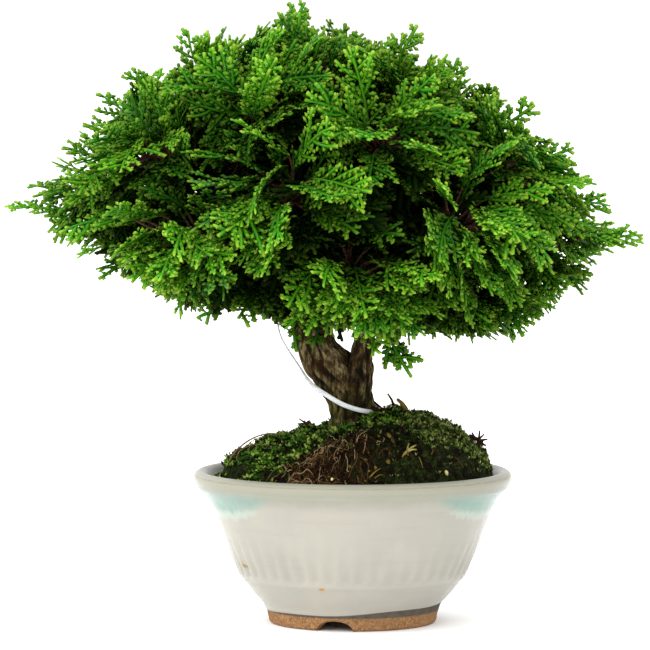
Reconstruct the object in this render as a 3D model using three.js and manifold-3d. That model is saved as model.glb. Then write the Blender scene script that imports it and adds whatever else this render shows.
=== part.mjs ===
// Hinoki cypress bonsai in a round glazed pot.
// Millimetres, +Z up, +X to the right, -Y to the front. The pot's foot stands on z = 0.
// The pot, soil and trunk are worked out round the pot's axis, and the finished group is then
// moved so that its origin is the middle of its box's lowest face.

import * as THREE from 'three';
import { mergeVertices } from 'three/addons/utils/BufferGeometryUtils.js';
import Module from 'manifold-3d';

const wasm = await Module();
wasm.setup();

// ---------------------------------------------------------------- driving dimensions

const RIM_RADIUS = 65;
const POT_HEIGHT = 61.8;
const FOOT_RADIUS = 34.2;
const FOOT_BAND = 5.4;
const FLOOR_TOP = 10.2;
const FLOOR_UNDER = 4.4;
const DRAIN_RADIUS = 7.25;
const ROUND_SIDES = 32;

const NOTCH_COUNT = 3;
const NOTCH_WIDTH = 14;
const NOTCH_HEIGHT = 4;
const NOTCH_FIRST_ANGLE = THREE.MathUtils.degToRad(-103);

const GAP = 0.3;

const SCREEN_PITCH = 4.6;
const SCREEN_CELLS = 4;
const SCREEN_BAR = 1.4;
const SCREEN_THICKNESS = 0.9;
const WIRE_RADIUS = 0.5;
const CLIP_LEG_LENGTH = 11;

const MOUND_EDGE_RADIUS = 57.6;
const MOUND_EDGE_Z = 58.5;
const MOUND_RISE_RIGHT = 28.5;
const MOUND_RISE_LEFT = 24;
const MOUND_SHAPE_RIGHT = 5;
const MOUND_SHAPE_LEFT = 2.3;
const MOUND_LUMP = 1.1;
const MOUND_DIP = 6.5;
const MOUND_DIP_RADIUS = 18;
const SOIL_RECESS_RADIUS = 15;
const SOIL_RECESS_TOP = 13.4;

const TRUNK_SIDES = 12;
const TRUNK_FLUTE = 0.07;
const SUB_BRANCH_SIDES = 3;
const SUB_BRANCH_RADIUS = 2.5;
const BOUGH_BEND = 0.72;

const CROWN_CENTRE = new THREE.Vector3(-11.7, 0, 157);
const LEAFY_BRANCHES = 30;
const LOWEST_BRANCH = THREE.MathUtils.degToRad(-42);
const FIRST_BRANCH_TURN = THREE.MathUtils.degToRad(272);
const STEM_START = 0.42;
const STEM_END = 0.58;
const STEM_RADIUS = 1.6;
const STEM_TIP_RADIUS = 1.3;
const STEM_SIDES = 4;
const CELL_MARGIN = 0.35;

// The core of a leafy branch: its ends and rings as shares of the reach, and how much of the
// branch's own space each ring fills.
const CORE_SIDES = 5;
const CORE_INNER_END = 0.5;
const CORE_OUTER_END = 0.76;
const CORE_RINGS = [
  { place: 0.57, fill: 0.5 },
  { place: 0.67, fill: 0.48 },
];

// Reach of the crown from its centre, every 15 degrees of elevation from -60 to 90.
const REACH_LOWEST = -60;
const REACH_STEP = 15;
const REACH_RIGHT = [54, 62, 84, 108, 132, 119, 108, 99, 94, 92, 98];
const REACH_LEFT = [42, 47, 66, 90, 133, 129, 114, 112, 108, 104, 98];
const REACH_DEPTH = [48, 56, 76, 98, 112, 110, 105, 101, 98, 97, 98];

// One fan: notches along its rib, and how far its lobes reach sideways, as shares of its length.
const FAN_NOTCHES = [0.2, 0.42, 0.63, 0.83];
const FAN_LOBE_REACH = [0.42, 0.42, 0.27];
const FAN_LOBE_LEAD = 0.18;
const FAN_NOTCH_HALF_WIDTH = [0.05, 0.075, 0.07, 0.045];
const FAN_KEEL = [1.6, 1.5, 1.3, 1.0];
const FAN_ARCH = 0.16;
const FAN_LOBE_DROOP = 0.06;
const FAN_SHRINK = 0.94;
const FAN_SHORTEST = 9;
const FAN_LOBE_SHORTEST = 0.3;
const FAN_TIP = 1.08;
const FAN_ROLL = 0.45;

const FAN_STRAY = 0.3;
const FAN_DROOP = 0.5;
const FAN_FACING_OUT = 0.3;

// The fans of a leafy branch, in drooping layers: root along the branch, to its side and up,
// heading along the branch, to its side and up, and length. Roots and lengths are shares of the
// reach.
const FANS = [
  { root: [0.7, 0, 0], heading: [1, 0, 0.15], length: 0.33 },
  { root: [0.66, 0.045, 0.01], heading: [0.7, 0.8, 0.15], length: 0.42 },
  { root: [0.65, -0.045, 0.01], heading: [0.7, -0.8, 0.15], length: 0.42 },
  { root: [0.62, 0.03, 0.045], heading: [0.75, 0.45, 0.85], length: 0.43 },
  { root: [0.61, -0.03, 0.045], heading: [0.75, -0.45, 0.9], length: 0.43 },
  { root: [0.6, 0.03, -0.04], heading: [0.8, 0.5, -0.5], length: 0.42 },
  { root: [0.59, -0.03, -0.04], heading: [0.8, -0.55, -0.55], length: 0.42 },
];

const STRAP_WIDTH = 2.1;
const STRAP_THICKNESS = 0.6;
const STRAP_STATIONS = 34;

// ---------------------------------------------------------------- materials

const glazedStoneware = new THREE.MeshStandardMaterial({ color: 0xdedbcf, roughness: 0.25, metalness: 0 });
const pottingSoil = new THREE.MeshStandardMaterial({ color: 0x3a2c1e, roughness: 0.95, metalness: 0 });
const bark = new THREE.MeshStandardMaterial({ color: 0x6e5a44, roughness: 0.9, metalness: 0 });
const scaleLeaf = new THREE.MeshStandardMaterial({ color: 0x3d8a24, roughness: 0.6, metalness: 0 });
const whitePlastic = new THREE.MeshStandardMaterial({ color: 0xf0f2f2, roughness: 0.4, metalness: 0 });
const screenPlastic = new THREE.MeshStandardMaterial({ color: 0x23331f, roughness: 0.6, metalness: 0 });
const trainingWire = new THREE.MeshStandardMaterial({ color: 0x8a5a3c, roughness: 0.4, metalness: 1 });

// ---------------------------------------------------------------- solids and helpers

function toSolid(geometry) {
  geometry.deleteAttribute('normal');
  geometry.deleteAttribute('uv');
  const merged = mergeVertices(geometry, 1e-4);
  return new wasm.Manifold(new wasm.Mesh({
    numProp: 3,
    vertProperties: new Float32Array(merged.attributes.position.array),
    triVerts: new Uint32Array(merged.index.array),
  }));
}

function toGeometry(solid) {
  const mesh = solid.getMesh();
  const geometry = new THREE.BufferGeometry();
  geometry.setAttribute('position', new THREE.BufferAttribute(new Float32Array(mesh.vertProperties), 3));
  geometry.setIndex(new THREE.BufferAttribute(new Uint32Array(mesh.triVerts), 1));
  return geometry;
}

function fromTriangles(points, faces) {
  const geometry = new THREE.BufferGeometry();
  geometry.setAttribute('position', new THREE.Float32BufferAttribute(points.flatMap((p) => [p.x, p.y, p.z]), 3));
  geometry.setIndex(faces.flat());
  return geometry;
}

function joined(geometries) {
  return geometries.map(toSolid).reduce((whole, piece) => whole.add(piece));
}

// A repeatable number from 0 to 1 for each whole number.
function scatter(number) {
  const wave = Math.sin(number * 12.9898 + 4.1414) * 43758.5453;
  return wave - Math.floor(wave);
}

function mix(from, to, share) {
  return from + (to - from) * share;
}

// A closed tube of round or fluted section along a smooth curve through the given stations.
// Each station is [x, y, z, radius]; the section is turned with the path and never twists.
function taperedTube(stations, sides, steps, flute = 0) {
  const curve = new THREE.CatmullRomCurve3(stations.map(([x, y, z]) => new THREE.Vector3(x, y, z)));
  const radii = stations.map((station) => station[3]);
  const points = [];
  const faces = [];
  let across = null;
  for (let step = 0; step <= steps; step += 1) {
    const at = step / steps;
    const centre = curve.getPoint(at);
    const heading = curve.getTangent(at);
    across = across ?? new THREE.Vector3(1, 0, 0).cross(heading).cross(heading).negate();
    across.addScaledVector(heading, -across.dot(heading)).normalize();
    const upright = heading.clone().cross(across);
    const place = at * (radii.length - 1);
    const before = Math.min(Math.floor(place), radii.length - 2);
    const radius = mix(radii[before], radii[before + 1], place - before);
    for (let side = 0; side < sides; side += 1) {
      const turn = side / sides * 2 * Math.PI;
      const bulge = radius * (1 + flute * Math.cos(3 * turn + at * 2) + flute * 0.6 * Math.cos(5 * turn));
      points.push(centre.clone()
        .addScaledVector(across, Math.cos(turn) * bulge)
        .addScaledVector(upright, Math.sin(turn) * bulge));
    }
  }
  for (let step = 0; step < steps; step += 1) {
    for (let side = 0; side < sides; side += 1) {
      const a = step * sides + side;
      const b = step * sides + (side + 1) % sides;
      faces.push([a, b, b + sides], [a, b + sides, a + sides]);
    }
  }
  const last = steps * sides;
  for (let side = 1; side < sides - 1; side += 1) {
    faces.push([0, side + 1, side], [last, last + side, last + side + 1]);
  }
  return fromTriangles(points, faces);
}

// ---------------------------------------------------------------- pot

const INNER_PROFILE = [
  [58.4, 59.5],
  [54.5, 50],
  [41, 19.5],
  [30.5, FLOOR_TOP],
];

function potGeometry() {
  const profile = [
    [28.5, 0],
    [FOOT_RADIUS - 0.6, 0],
    [FOOT_RADIUS, 0.8],
    [35.2, FOOT_BAND],
    [36.4, 8.2],
    [40.6, 13.2],
    [44.3, 17.8],
    [46.2, 20.5],
    [50.2, 29.6],
    [54.7, 41.7],
    [58.1, 50],
    [59.5, 52.5],
    [62.5, 54.5],
    [64.6, 56.8],
    [RIM_RADIUS, 59],
    [64.2, 61],
    [62.4, POT_HEIGHT],
    [60.3, 61.2],
    ...INNER_PROFILE,
    [DRAIN_RADIUS, FLOOR_TOP],
    [DRAIN_RADIUS, FLOOR_UNDER],
    [28, FLOOR_UNDER],
    [28.5, 0],
  ];
  const bowl = new THREE.LatheGeometry(profile.map(([r, z]) => new THREE.Vector2(r, z)), ROUND_SIDES);
  bowl.rotateX(Math.PI / 2);
  return bowl;
}

// A round-topped arch cut straight out through the foot ring.
function notchCutter(angle) {
  const arch = new THREE.Shape();
  arch.moveTo(-NOTCH_WIDTH / 2, -1);
  arch.lineTo(NOTCH_WIDTH / 2, -1);
  arch.lineTo(NOTCH_WIDTH / 2, 0);
  arch.absellipse(0, 0, NOTCH_WIDTH / 2, NOTCH_HEIGHT, 0, Math.PI, false);
  const cutter = new THREE.ExtrudeGeometry(arch, { depth: 12, bevelEnabled: false, curveSegments: 4 });
  cutter.rotateX(Math.PI / 2);
  cutter.rotateZ(Math.PI / 2);
  cutter.translate(FOOT_RADIUS - 10, 0, 0);
  cutter.rotateZ(angle);
  return cutter;
}

// ---------------------------------------------------------------- soil

function moundHeight(radius, turn) {
  const right = (1 + Math.cos(turn)) / 2;
  const share = Math.min(radius / MOUND_EDGE_RADIUS, 1);
  const shape = mix(MOUND_SHAPE_LEFT, MOUND_SHAPE_RIGHT, right);
  const rise = mix(MOUND_RISE_LEFT, MOUND_RISE_RIGHT, right);
  const lumps = Math.sin(radius * 0.31 + 3 * turn) * Math.cos(radius * 0.17 - 4 * turn);
  const dip = MOUND_DIP * Math.max(0, 1 - radius / MOUND_DIP_RADIUS);
  return MOUND_EDGE_Z + rise * (1 - share ** shape) + MOUND_LUMP * lumps * (1 - share ** 6) - dip;
}

const MOUND_RINGS = [MOUND_EDGE_RADIUS, 54, 47, 37, 26, 17];

// The root ball: it follows the pot's inside wall at a small gap and rises to a mound on top.
// Its underside has a shallow recess over the drain screen.
function soilGeometry() {
  const wall = INNER_PROFILE.map(([r, z]) => [r - GAP * 1.3, z + GAP]).reverse();
  const under = [[SOIL_RECESS_RADIUS - 0.4, SOIL_RECESS_TOP], [SOIL_RECESS_RADIUS, FLOOR_TOP + GAP], ...wall];
  under.pop();
  const points = [new THREE.Vector3(0, 0, SOIL_RECESS_TOP)];
  const faces = [];
  const rings = [
    ...under.map(([r, z]) => () => [r, z]),
    ...MOUND_RINGS.map((r) => (turn) => [r, moundHeight(r, turn)]),
  ];
  for (const ring of rings) {
    for (let side = 0; side < ROUND_SIDES; side += 1) {
      const turn = side / ROUND_SIDES * 2 * Math.PI;
      const [r, z] = ring(turn);
      points.push(new THREE.Vector3(r * Math.cos(turn), r * Math.sin(turn), z));
    }
  }
  points.push(new THREE.Vector3(0, 0, moundHeight(0, 0)));
  const top = points.length - 1;
  const lastRing = 1 + (rings.length - 1) * ROUND_SIDES;
  for (let side = 0; side < ROUND_SIDES; side += 1) {
    const next = (side + 1) % ROUND_SIDES;
    faces.push([0, 1 + next, 1 + side], [lastRing + side, lastRing + next, top]);
    for (let ring = 0; ring < rings.length - 1; ring += 1) {
      const a = 1 + ring * ROUND_SIDES + side;
      const b = 1 + ring * ROUND_SIDES + next;
      faces.push([a, b, b + ROUND_SIDES], [a, b + ROUND_SIDES, a + ROUND_SIDES]);
    }
  }
  return fromTriangles(points, faces);
}

// ---------------------------------------------------------------- trunk and boughs

const MAIN_STEM = [
  [-0.5, 0, 62, 11.6],
  [-0.6, 0, 76, 10.4],
  [-0.9, 0, 84, 8.7],
  [-1.6, 0, 91, 9.0],
  [-4.2, 0, 98, 9.4],
  [-9.0, 0, 104, 8.9],
  [-13.6, 0, 110, 8.1],
  [-17.0, 1, 118, 7.2],
  [-19.5, 2, 130, 6.0],
  [-18.5, 2, 144, 5.0],
  [-15.0, 1, 158, 4.2],
  [-12.5, 0, 174, 3.2],
];
const RIGHT_LIMB = [
  [-1.0, -1, 88, 5.6],
  [1.8, -1, 97, 5.8],
  [2.6, -1, 104, 5.0],
  [3.4, -1, 110, 4.2],
  [5.6, -1, 118, 3.5],
  [9.5, -2, 130, 3.2],
  [11.5, -1, 144, 2.9],
  [8.0, 0, 158, 2.5],
];
const TRUNK_STEPS = 12;
const LIMB_STEPS = 8;
const HOLE_TOP = 95;

// The hole in the soil: the buried stretch of the trunk with a small gap all round.
function trunkHoleGeometry() {
  const buried = MAIN_STEM.slice(0, 4).map(([x, y, z, r]) => [x, y, z, r * 1.09 + 2 * GAP]);
  buried[0][2] -= GAP;
  buried.push([-1.6, 0, HOLE_TOP, 10.8]);
  return taperedTube(buried, TRUNK_SIDES, 4);
}

// ---------------------------------------------------------------- crown layout

function reachAt(profile, elevation) {
  const place = THREE.MathUtils.clamp((elevation - REACH_LOWEST) / REACH_STEP, 0, profile.length - 1);
  const before = Math.min(Math.floor(place), profile.length - 2);
  return mix(profile[before], profile[before + 1], place - before);
}

// How far the crown reaches from its centre in a direction: right, left and depth profiles mixed.
function crownReach(direction) {
  const elevation = THREE.MathUtils.radToDeg(Math.asin(direction.z));
  const flat = Math.hypot(direction.x, direction.y) || 1;
  const sideways = Math.abs(direction.x / flat) ** 1.5;
  const side = direction.x > 0 ? REACH_RIGHT : REACH_LEFT;
  return mix(reachAt(REACH_DEPTH, elevation), reachAt(side, elevation), sideways);
}

// Directions spread evenly over the crown by the golden angle, from the top down.
function branchDirections() {
  const golden = Math.PI * (3 - Math.sqrt(5));
  const directions = [];
  for (let index = 0; index < LEAFY_BRANCHES; index += 1) {
    const height = 1 - (index + 0.5) / LEAFY_BRANCHES * (1 - Math.sin(LOWEST_BRANCH));
    const around = index * golden + FIRST_BRANCH_TURN;
    const flat = Math.sqrt(1 - height * height);
    directions.push(new THREE.Vector3(flat * Math.cos(around), flat * Math.sin(around), height));
  }
  return directions;
}

const DIRECTIONS = branchDirections();
const DOWNWARDS = new THREE.Vector3(0, 0, -1);

// Each leafy branch owns the cone of space that is nearer to its direction than to any other,
// so no two of them cross. A point is given from the crown's centre.
function insideCell(point, index) {
  const own = DIRECTIONS[index];
  return [...DIRECTIONS, DOWNWARDS].every((other) => {
    if (other === own) {
      return true;
    }
    const wall = own.clone().sub(other).normalize();
    return point.dot(wall) > CELL_MARGIN;
  });
}

function insideReach(point) {
  return point.length() <= crownReach(point.clone().normalize());
}

// ---------------------------------------------------------------- leafy branches

// One arched fan: a rib with a keel under it, lobes cut back towards the rib on both sides, and
// a tip. The frame gives root, heading, normal and length. The rib starts at a point deep in the
// core, and has a left edge, a right edge and the keel's line at each notch. The fan is shortened until its rib lies inside its branch's
// space, and each lobe is pulled back until its own tip does.
function fanGeometry({ root, heading, normal, length }, index) {
  const side = normal.clone().cross(heading);
  const at = (along, across, lift) => root.clone()
    .addScaledVector(heading, along * length)
    .addScaledVector(side, across)
    .addScaledVector(normal, lift - FAN_ARCH * length * along * along);
  const bladeWidth = Math.max(...FAN_NOTCH_HALF_WIDTH);
  const fits = (along, across, lift) => {
    const point = at(along, across, lift);
    return insideCell(point, index) && insideReach(point);
  };
  const ribFits = () => [bladeWidth, -bladeWidth].every((half) => fits(0.6, half * length, 0)
    && fits(0.83, half * length, 0) && fits(0.42, half * length, -FAN_KEEL[0]))
    && fits(FAN_TIP, 0, -FAN_KEEL[0] / 2);
  while (length > FAN_SHORTEST && !ribFits()) {
    length *= FAN_SHRINK;
  }
  const points = [at(0, 0, 0)];
  FAN_NOTCHES.forEach((along, row) => {
    const width = FAN_NOTCH_HALF_WIDTH[row] * length;
    points.push(at(along, width, 0), at(along, -width, 0), at(along, 0, -FAN_KEEL[row]));
  });
  const faces = [[0, 2, 1], [0, 1, 3], [0, 3, 2]];
  FAN_LOBE_REACH.forEach((reach, lobe) => {
    const a = 1 + 3 * lobe;
    faces.push([a, a + 1, a + 4], [a, a + 4, a + 3]);
    const base = (FAN_NOTCHES[lobe] + FAN_NOTCHES[lobe + 1]) / 2;
    const lead = FAN_NOTCHES[lobe + 1] + FAN_LOBE_LEAD - 0.05 * lobe - base;
    for (const hand of [1, -1]) {
      const edge = hand > 0 ? 0 : 1;
      let share = 1;
      const tipPlace = () => [base + lead * share, hand * reach * share * length, -FAN_LOBE_DROOP * share * length];
      while (share > FAN_LOBE_SHORTEST && !fits(...tipPlace())) {
        share *= FAN_SHRINK;
      }
      const tip = points.length;
      points.push(at(...tipPlace()));
      const top = [a + edge, a + 3 + edge, tip];
      const under = [a + 5, a + 2, tip];
      const near = [a + 2, a + edge, tip];
      const far = [a + 3 + edge, a + 5, tip];
      faces.push(...[top, under, near, far].map(([i, j, k]) => (hand > 0 ? [i, j, k] : [j, i, k])));
    }
  });
  const end = 3 * FAN_NOTCHES.length - 2;
  const tip = points.length;
  points.push(at(FAN_TIP, 0, -0.02 * length));
  faces.push([end, end + 1, tip], [end + 1, end + 2, tip], [end + 2, end, tip]);
  return fromTriangles(points, faces);
}

// A fan faces up where it lies flat and outwards where it stands up, with a small roll of its own.
function fanNormal(heading, outward, roll) {
  const lean = Math.max(heading.z, 0) ** 2;
  const facing = new THREE.Vector3(0, 0, 1 - lean).addScaledVector(outward, lean + FAN_FACING_OUT);
  facing.addScaledVector(heading, -facing.dot(heading)).normalize();
  return facing.applyAxisAngle(heading, roll);
}

// The dense inner twigs of a leafy branch: an angular core with two rings, which fills part of
// the space that the branch owns and carries the fans.
function coreGeometry(index, { direction, side, up, reach }) {
  const points = [direction.clone().multiplyScalar(CORE_INNER_END * reach)];
  const faces = [];
  CORE_RINGS.forEach(({ place, fill }, ring) => {
    const centre = direction.clone().multiplyScalar(place * reach);
    for (let corner = 0; corner < CORE_SIDES; corner += 1) {
      const turn = (corner + ring / 2 + scatter(index)) / CORE_SIDES * 2 * Math.PI;
      const away = side.clone().multiplyScalar(Math.cos(turn)).addScaledVector(up, Math.sin(turn));
      let extent = 0.3 * reach;
      while (!insideCell(centre.clone().addScaledVector(away, extent), index)) {
        extent *= FAN_SHRINK;
      }
      const filled = fill * (0.85 + 0.3 * scatter(index * 5 + corner + 40 * ring));
      points.push(centre.clone().addScaledVector(away, extent * filled));
    }
  });
  points.push(direction.clone().multiplyScalar(CORE_OUTER_END * reach));
  const outer = points.length - 1;
  for (let corner = 0; corner < CORE_SIDES; corner += 1) {
    const next = (corner + 1) % CORE_SIDES;
    const a = 1 + corner;
    const b = 1 + next;
    const c = a + CORE_SIDES;
    const d = b + CORE_SIDES;
    faces.push([0, b, a], [a, b, c], [b, d, c], [c, d, outer]);
  }
  return fromTriangles(points, faces);
}

function leafyBranchGeometry(index) {
  const direction = DIRECTIONS[index];
  const reach = crownReach(direction);
  const side = new THREE.Vector3(0, 0, 1).cross(direction).normalize();
  const up = direction.clone().cross(side);
  const outward = new THREE.Vector3(direction.x, direction.y, 0).normalize();
  const droop = FAN_DROOP * Math.hypot(direction.x, direction.y);
  const along = (share) => direction.clone().multiplyScalar(share * reach);
  const stem = taperedTube([
    [...along(STEM_START).toArray(), STEM_RADIUS],
    [...along(STEM_END).toArray(), STEM_TIP_RADIUS],
  ], STEM_SIDES, 1);
  const core = coreGeometry(index, { direction, side, up, reach });
  const fans = FANS.map((fan, row) => {
    const draw = index * 31 + row * 7;
    const inBranch = ([ahead, aside, above]) => direction.clone().multiplyScalar(ahead)
      .addScaledVector(side, aside)
      .addScaledVector(up, above);
    const heading = inBranch(fan.heading)
      .addScaledVector(side, FAN_STRAY * (scatter(draw) - 0.5))
      .addScaledVector(up, FAN_STRAY * (scatter(draw + 1) - 0.5));
    heading.z -= droop;
    heading.normalize();
    const normal = fanNormal(heading, outward, FAN_ROLL * (scatter(draw + 2) - 0.5) * 2);
    const root = inBranch(fan.root).multiplyScalar(reach);
    const length = fan.length * reach * (0.95 + 0.25 * scatter(draw + 3));
    return fanGeometry({ root, heading, normal, length }, index);
  });
  return toGeometry(joined([stem, core, ...fans]));
}

// The woody bough that carries a leafy branch: from the nearest lower point of the stem or limb
// to just short of the leafy branch's start.
function boughGeometry(index, carriers) {
  const direction = DIRECTIONS[index];
  const reach = crownReach(direction);
  const end = direction.clone().multiplyScalar(STEM_START * reach - GAP).add(CROWN_CENTRE);
  const middle = direction.clone().multiplyScalar(STEM_START * reach * BOUGH_BEND).add(CROWN_CENTRE);
  const cost = (spot) => spot.distanceTo(end) + Math.max(0, spot.z - end.z + 12) * 1.5;
  const start = carriers.reduce((best, spot) => (cost(spot) < cost(best) ? spot : best));
  return taperedTube([
    [...start.toArray(), SUB_BRANCH_RADIUS],
    [...middle.toArray(), (SUB_BRANCH_RADIUS + STEM_RADIUS) / 2],
    [...end.toArray(), STEM_RADIUS],
  ], SUB_BRANCH_SIDES, 2);
}

function trunkGeometry() {
  const carriers = [MAIN_STEM.slice(6), RIGHT_LIMB.slice(4)].flatMap((limb) => {
    const curve = new THREE.CatmullRomCurve3(limb.map(([x, y, z]) => new THREE.Vector3(x, y, z)));
    return curve.getPoints(12);
  });
  const boughs = DIRECTIONS.map((_, index) => boughGeometry(index, carriers));
  const stem = taperedTube(MAIN_STEM, TRUNK_SIDES, TRUNK_STEPS, TRUNK_FLUTE);
  const limb = taperedTube(RIGHT_LIMB, 8, LIMB_STEPS, TRUNK_FLUTE);
  return toGeometry(joined([stem, limb, ...boughs]));
}

// ---------------------------------------------------------------- drain screen and its clip

// A square sheet of mesh, its openings cut straight through.
function drainScreenGeometry() {
  const width = SCREEN_CELLS * SCREEN_PITCH + SCREEN_BAR;
  const opening = SCREEN_PITCH - SCREEN_BAR;
  let screen = toSolid(new THREE.BoxGeometry(width, width, SCREEN_THICKNESS));
  for (let row = 0; row < SCREEN_CELLS; row += 1) {
    for (let column = 0; column < SCREEN_CELLS; column += 1) {
      const hole = new THREE.BoxGeometry(opening, opening, 3 * SCREEN_THICKNESS);
      const x = (column - (SCREEN_CELLS - 1) / 2) * SCREEN_PITCH;
      const y = (row - (SCREEN_CELLS - 1) / 2) * SCREEN_PITCH;
      screen = screen.subtract(toSolid(hole.translate(x, y, 0)));
    }
  }
  return toGeometry(screen).translate(0, 0, FLOOR_TOP + GAP + SCREEN_THICKNESS / 2);
}

// A staple of soft wire: over two bars of the screen, down through the drain hole, and bent out
// under the pot's floor.
function screenClipGeometry() {
  const leg = SCREEN_PITCH / 2;
  const over = FLOOR_TOP + 2 * GAP + SCREEN_THICKNESS + WIRE_RADIUS;
  const under = FLOOR_UNDER - GAP - WIRE_RADIUS;
  const route = [
    [-CLIP_LEG_LENGTH, under],
    [-leg - 1, under],
    [-leg, under + 1],
    [-leg, over - 1],
    [-leg + 1, over],
    [leg - 1, over],
    [leg, over - 1],
    [leg, under + 1],
    [leg + 1, under],
    [CLIP_LEG_LENGTH, under],
  ];
  const path = new THREE.CurvePath();
  for (let piece = 1; piece < route.length; piece += 1) {
    const [from, to] = [route[piece - 1], route[piece]];
    path.add(new THREE.LineCurve3(new THREE.Vector3(from[0], leg, from[1]), new THREE.Vector3(to[0], leg, to[1])));
  }
  const section = new THREE.Shape();
  section.absarc(0, 0, WIRE_RADIUS, 0, 2 * Math.PI);
  return new THREE.ExtrudeGeometry(section, { extrudePath: path, steps: 14, curveSegments: 3, bevelEnabled: false });
}

// ---------------------------------------------------------------- tie strap

// Stations of the closed loop: centre, then the direction across the strap's width.
const STRAP_ROUTE = [
  [-28.9, -6, 116.3, 0, 1, 0.1],
  [-21.9, -9.4, 105.2, 0.1, 1, 0.3],
  [-17.0, -10.8, 98.2, 0.2, 0.6, 0.7],
  [-10.0, -11.4, 93.2, 0.3, 0, 0.9],
  [-3.2, -11.2, 89.4, 0.3, 0, 0.9],
  [4.5, -9.6, 87.0, 0.2, 0, 1],
  [9.8, -4.6, 86.4, 0, 0, 1],
  [10.6, 3.5, 87.2, 0, 0, 1],
  [6.0, 9.6, 89, 0, 0, 1],
  [-3.0, 11.6, 92, 0, 0, 1],
  [-13.0, 11.2, 99, 0.2, 0, 1],
  [-20.5, 9.6, 107, 0.6, 0.3, 0.6],
  [-26.5, 6.5, 116, 0.2, 1, 0],
  [-30.0, 0, 121.5, 0, 1, 0],
];

function tieStrapGeometry() {
  const centres = new THREE.CatmullRomCurve3(STRAP_ROUTE.map(([x, y, z]) => new THREE.Vector3(x, y, z)), true);
  const widths = new THREE.CatmullRomCurve3(STRAP_ROUTE.map((row) => new THREE.Vector3(...row.slice(3))), true);
  const points = [];
  const faces = [];
  for (let station = 0; station < STRAP_STATIONS; station += 1) {
    const at = station / STRAP_STATIONS;
    const heading = centres.getTangent(at);
    const across = widths.getPoint(at);
    across.addScaledVector(heading, -across.dot(heading)).normalize();
    const normal = heading.clone().cross(across);
    for (const [wide, thick] of [[-1, -1], [1, -1], [1, 1], [-1, 1]]) {
      points.push(centres.getPoint(at)
        .addScaledVector(across, wide * STRAP_WIDTH / 2)
        .addScaledVector(normal, thick * STRAP_THICKNESS / 2));
    }
    const next = (station + 1) % STRAP_STATIONS;
    for (let corner = 0; corner < 4; corner += 1) {
      const a = station * 4 + corner;
      const b = station * 4 + (corner + 1) % 4;
      const c = next * 4 + (corner + 1) % 4;
      const d = next * 4 + corner;
      faces.push([a, b, c], [a, c, d]);
    }
  }
  return fromTriangles(points, faces);
}

// ---------------------------------------------------------------- assembly

const bonsai = new THREE.Group();

function addPiece(name, geometry, material, position) {
  const piece = new THREE.Mesh(geometry, material);
  piece.name = name;
  if (position) {
    piece.position.copy(position);
  }
  bonsai.add(piece);
}

const notches = [];
for (let notch = 0; notch < NOTCH_COUNT; notch += 1) {
  notches.push(notchCutter(NOTCH_FIRST_ANGLE + notch / NOTCH_COUNT * 2 * Math.PI));
}
const pot = notches.reduce((bowl, notch) => bowl.subtract(toSolid(notch)), toSolid(potGeometry()));
addPiece('pot', toGeometry(pot), glazedStoneware);
const soil = toSolid(soilGeometry()).subtract(toSolid(trunkHoleGeometry()));
addPiece('soil', toGeometry(soil), pottingSoil);
addPiece('trunk', trunkGeometry(), bark);
DIRECTIONS.forEach((_, index) => {
  const name = `leafy_branch_${String(index + 1).padStart(2, '0')}`;
  addPiece(name, leafyBranchGeometry(index), scaleLeaf, CROWN_CENTRE);
});
addPiece('tie_strap', tieStrapGeometry(), whitePlastic);
addPiece('drain_screen', drainScreenGeometry(), screenPlastic);
addPiece('screen_clip', screenClipGeometry(), trainingWire);

bonsai.updateMatrixWorld(true);
const bounds = new THREE.Box3().setFromObject(bonsai);
const middle = bounds.getCenter(new THREE.Vector3());
bonsai.position.set(-middle.x, -middle.y, -bounds.min.z);

export default bonsai;
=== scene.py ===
"""A hinoki cypress bonsai in a glazed stoneware pot, dressed on its fixed frame.

Lengths in this file are millimetres from the pot's axis and its foot, and piece() turns them
into metres in the frame. Each grown piece is worked out as whole arrays of points.
"""

import functools
import itertools
import math

import bpy
import numpy as np
from bpy.props import FloatProperty, FloatVectorProperty, IntProperty, PointerProperty
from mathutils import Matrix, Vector


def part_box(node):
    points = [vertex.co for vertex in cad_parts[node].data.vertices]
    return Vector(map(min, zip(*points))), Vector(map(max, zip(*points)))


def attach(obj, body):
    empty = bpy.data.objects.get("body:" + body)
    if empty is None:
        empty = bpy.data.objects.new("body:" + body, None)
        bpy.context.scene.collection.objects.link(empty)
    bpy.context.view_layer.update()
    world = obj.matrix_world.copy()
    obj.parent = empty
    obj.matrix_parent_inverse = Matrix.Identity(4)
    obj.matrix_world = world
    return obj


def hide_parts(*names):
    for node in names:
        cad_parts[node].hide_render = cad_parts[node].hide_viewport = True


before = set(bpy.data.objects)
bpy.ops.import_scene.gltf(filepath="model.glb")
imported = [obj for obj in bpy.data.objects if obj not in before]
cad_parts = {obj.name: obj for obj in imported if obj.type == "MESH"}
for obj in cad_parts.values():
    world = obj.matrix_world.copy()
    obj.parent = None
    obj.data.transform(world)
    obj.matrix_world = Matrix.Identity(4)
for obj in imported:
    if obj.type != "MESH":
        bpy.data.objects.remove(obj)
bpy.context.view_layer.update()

bl_info = {
    "name": "Hinoki cypress bonsai",
    "version": (1, 0, 0),
    "blender": (4, 5, 0),
    "location": "View3D > Sidebar > Bonsai",
    "description": "Dresses a hinoki cypress bonsai and its glazed pot on a fixed frame",
    "category": "Add Mesh",
}

MM = 0.001
POT_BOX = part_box("pot")
POT_AXIS = np.array([(POT_BOX[0][0] + POT_BOX[1][0]) / 2, (POT_BOX[0][1] + POT_BOX[1][1]) / 2, 0.0])
# The view from the front: the camera's sideways place, its distance and its height.
CAMERA_SIDE = -11.3
EYE_DISTANCE = 1900.0
EYE_HEIGHT = 247.0

# ---------------------------------------------------------------- colours and nodes

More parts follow.
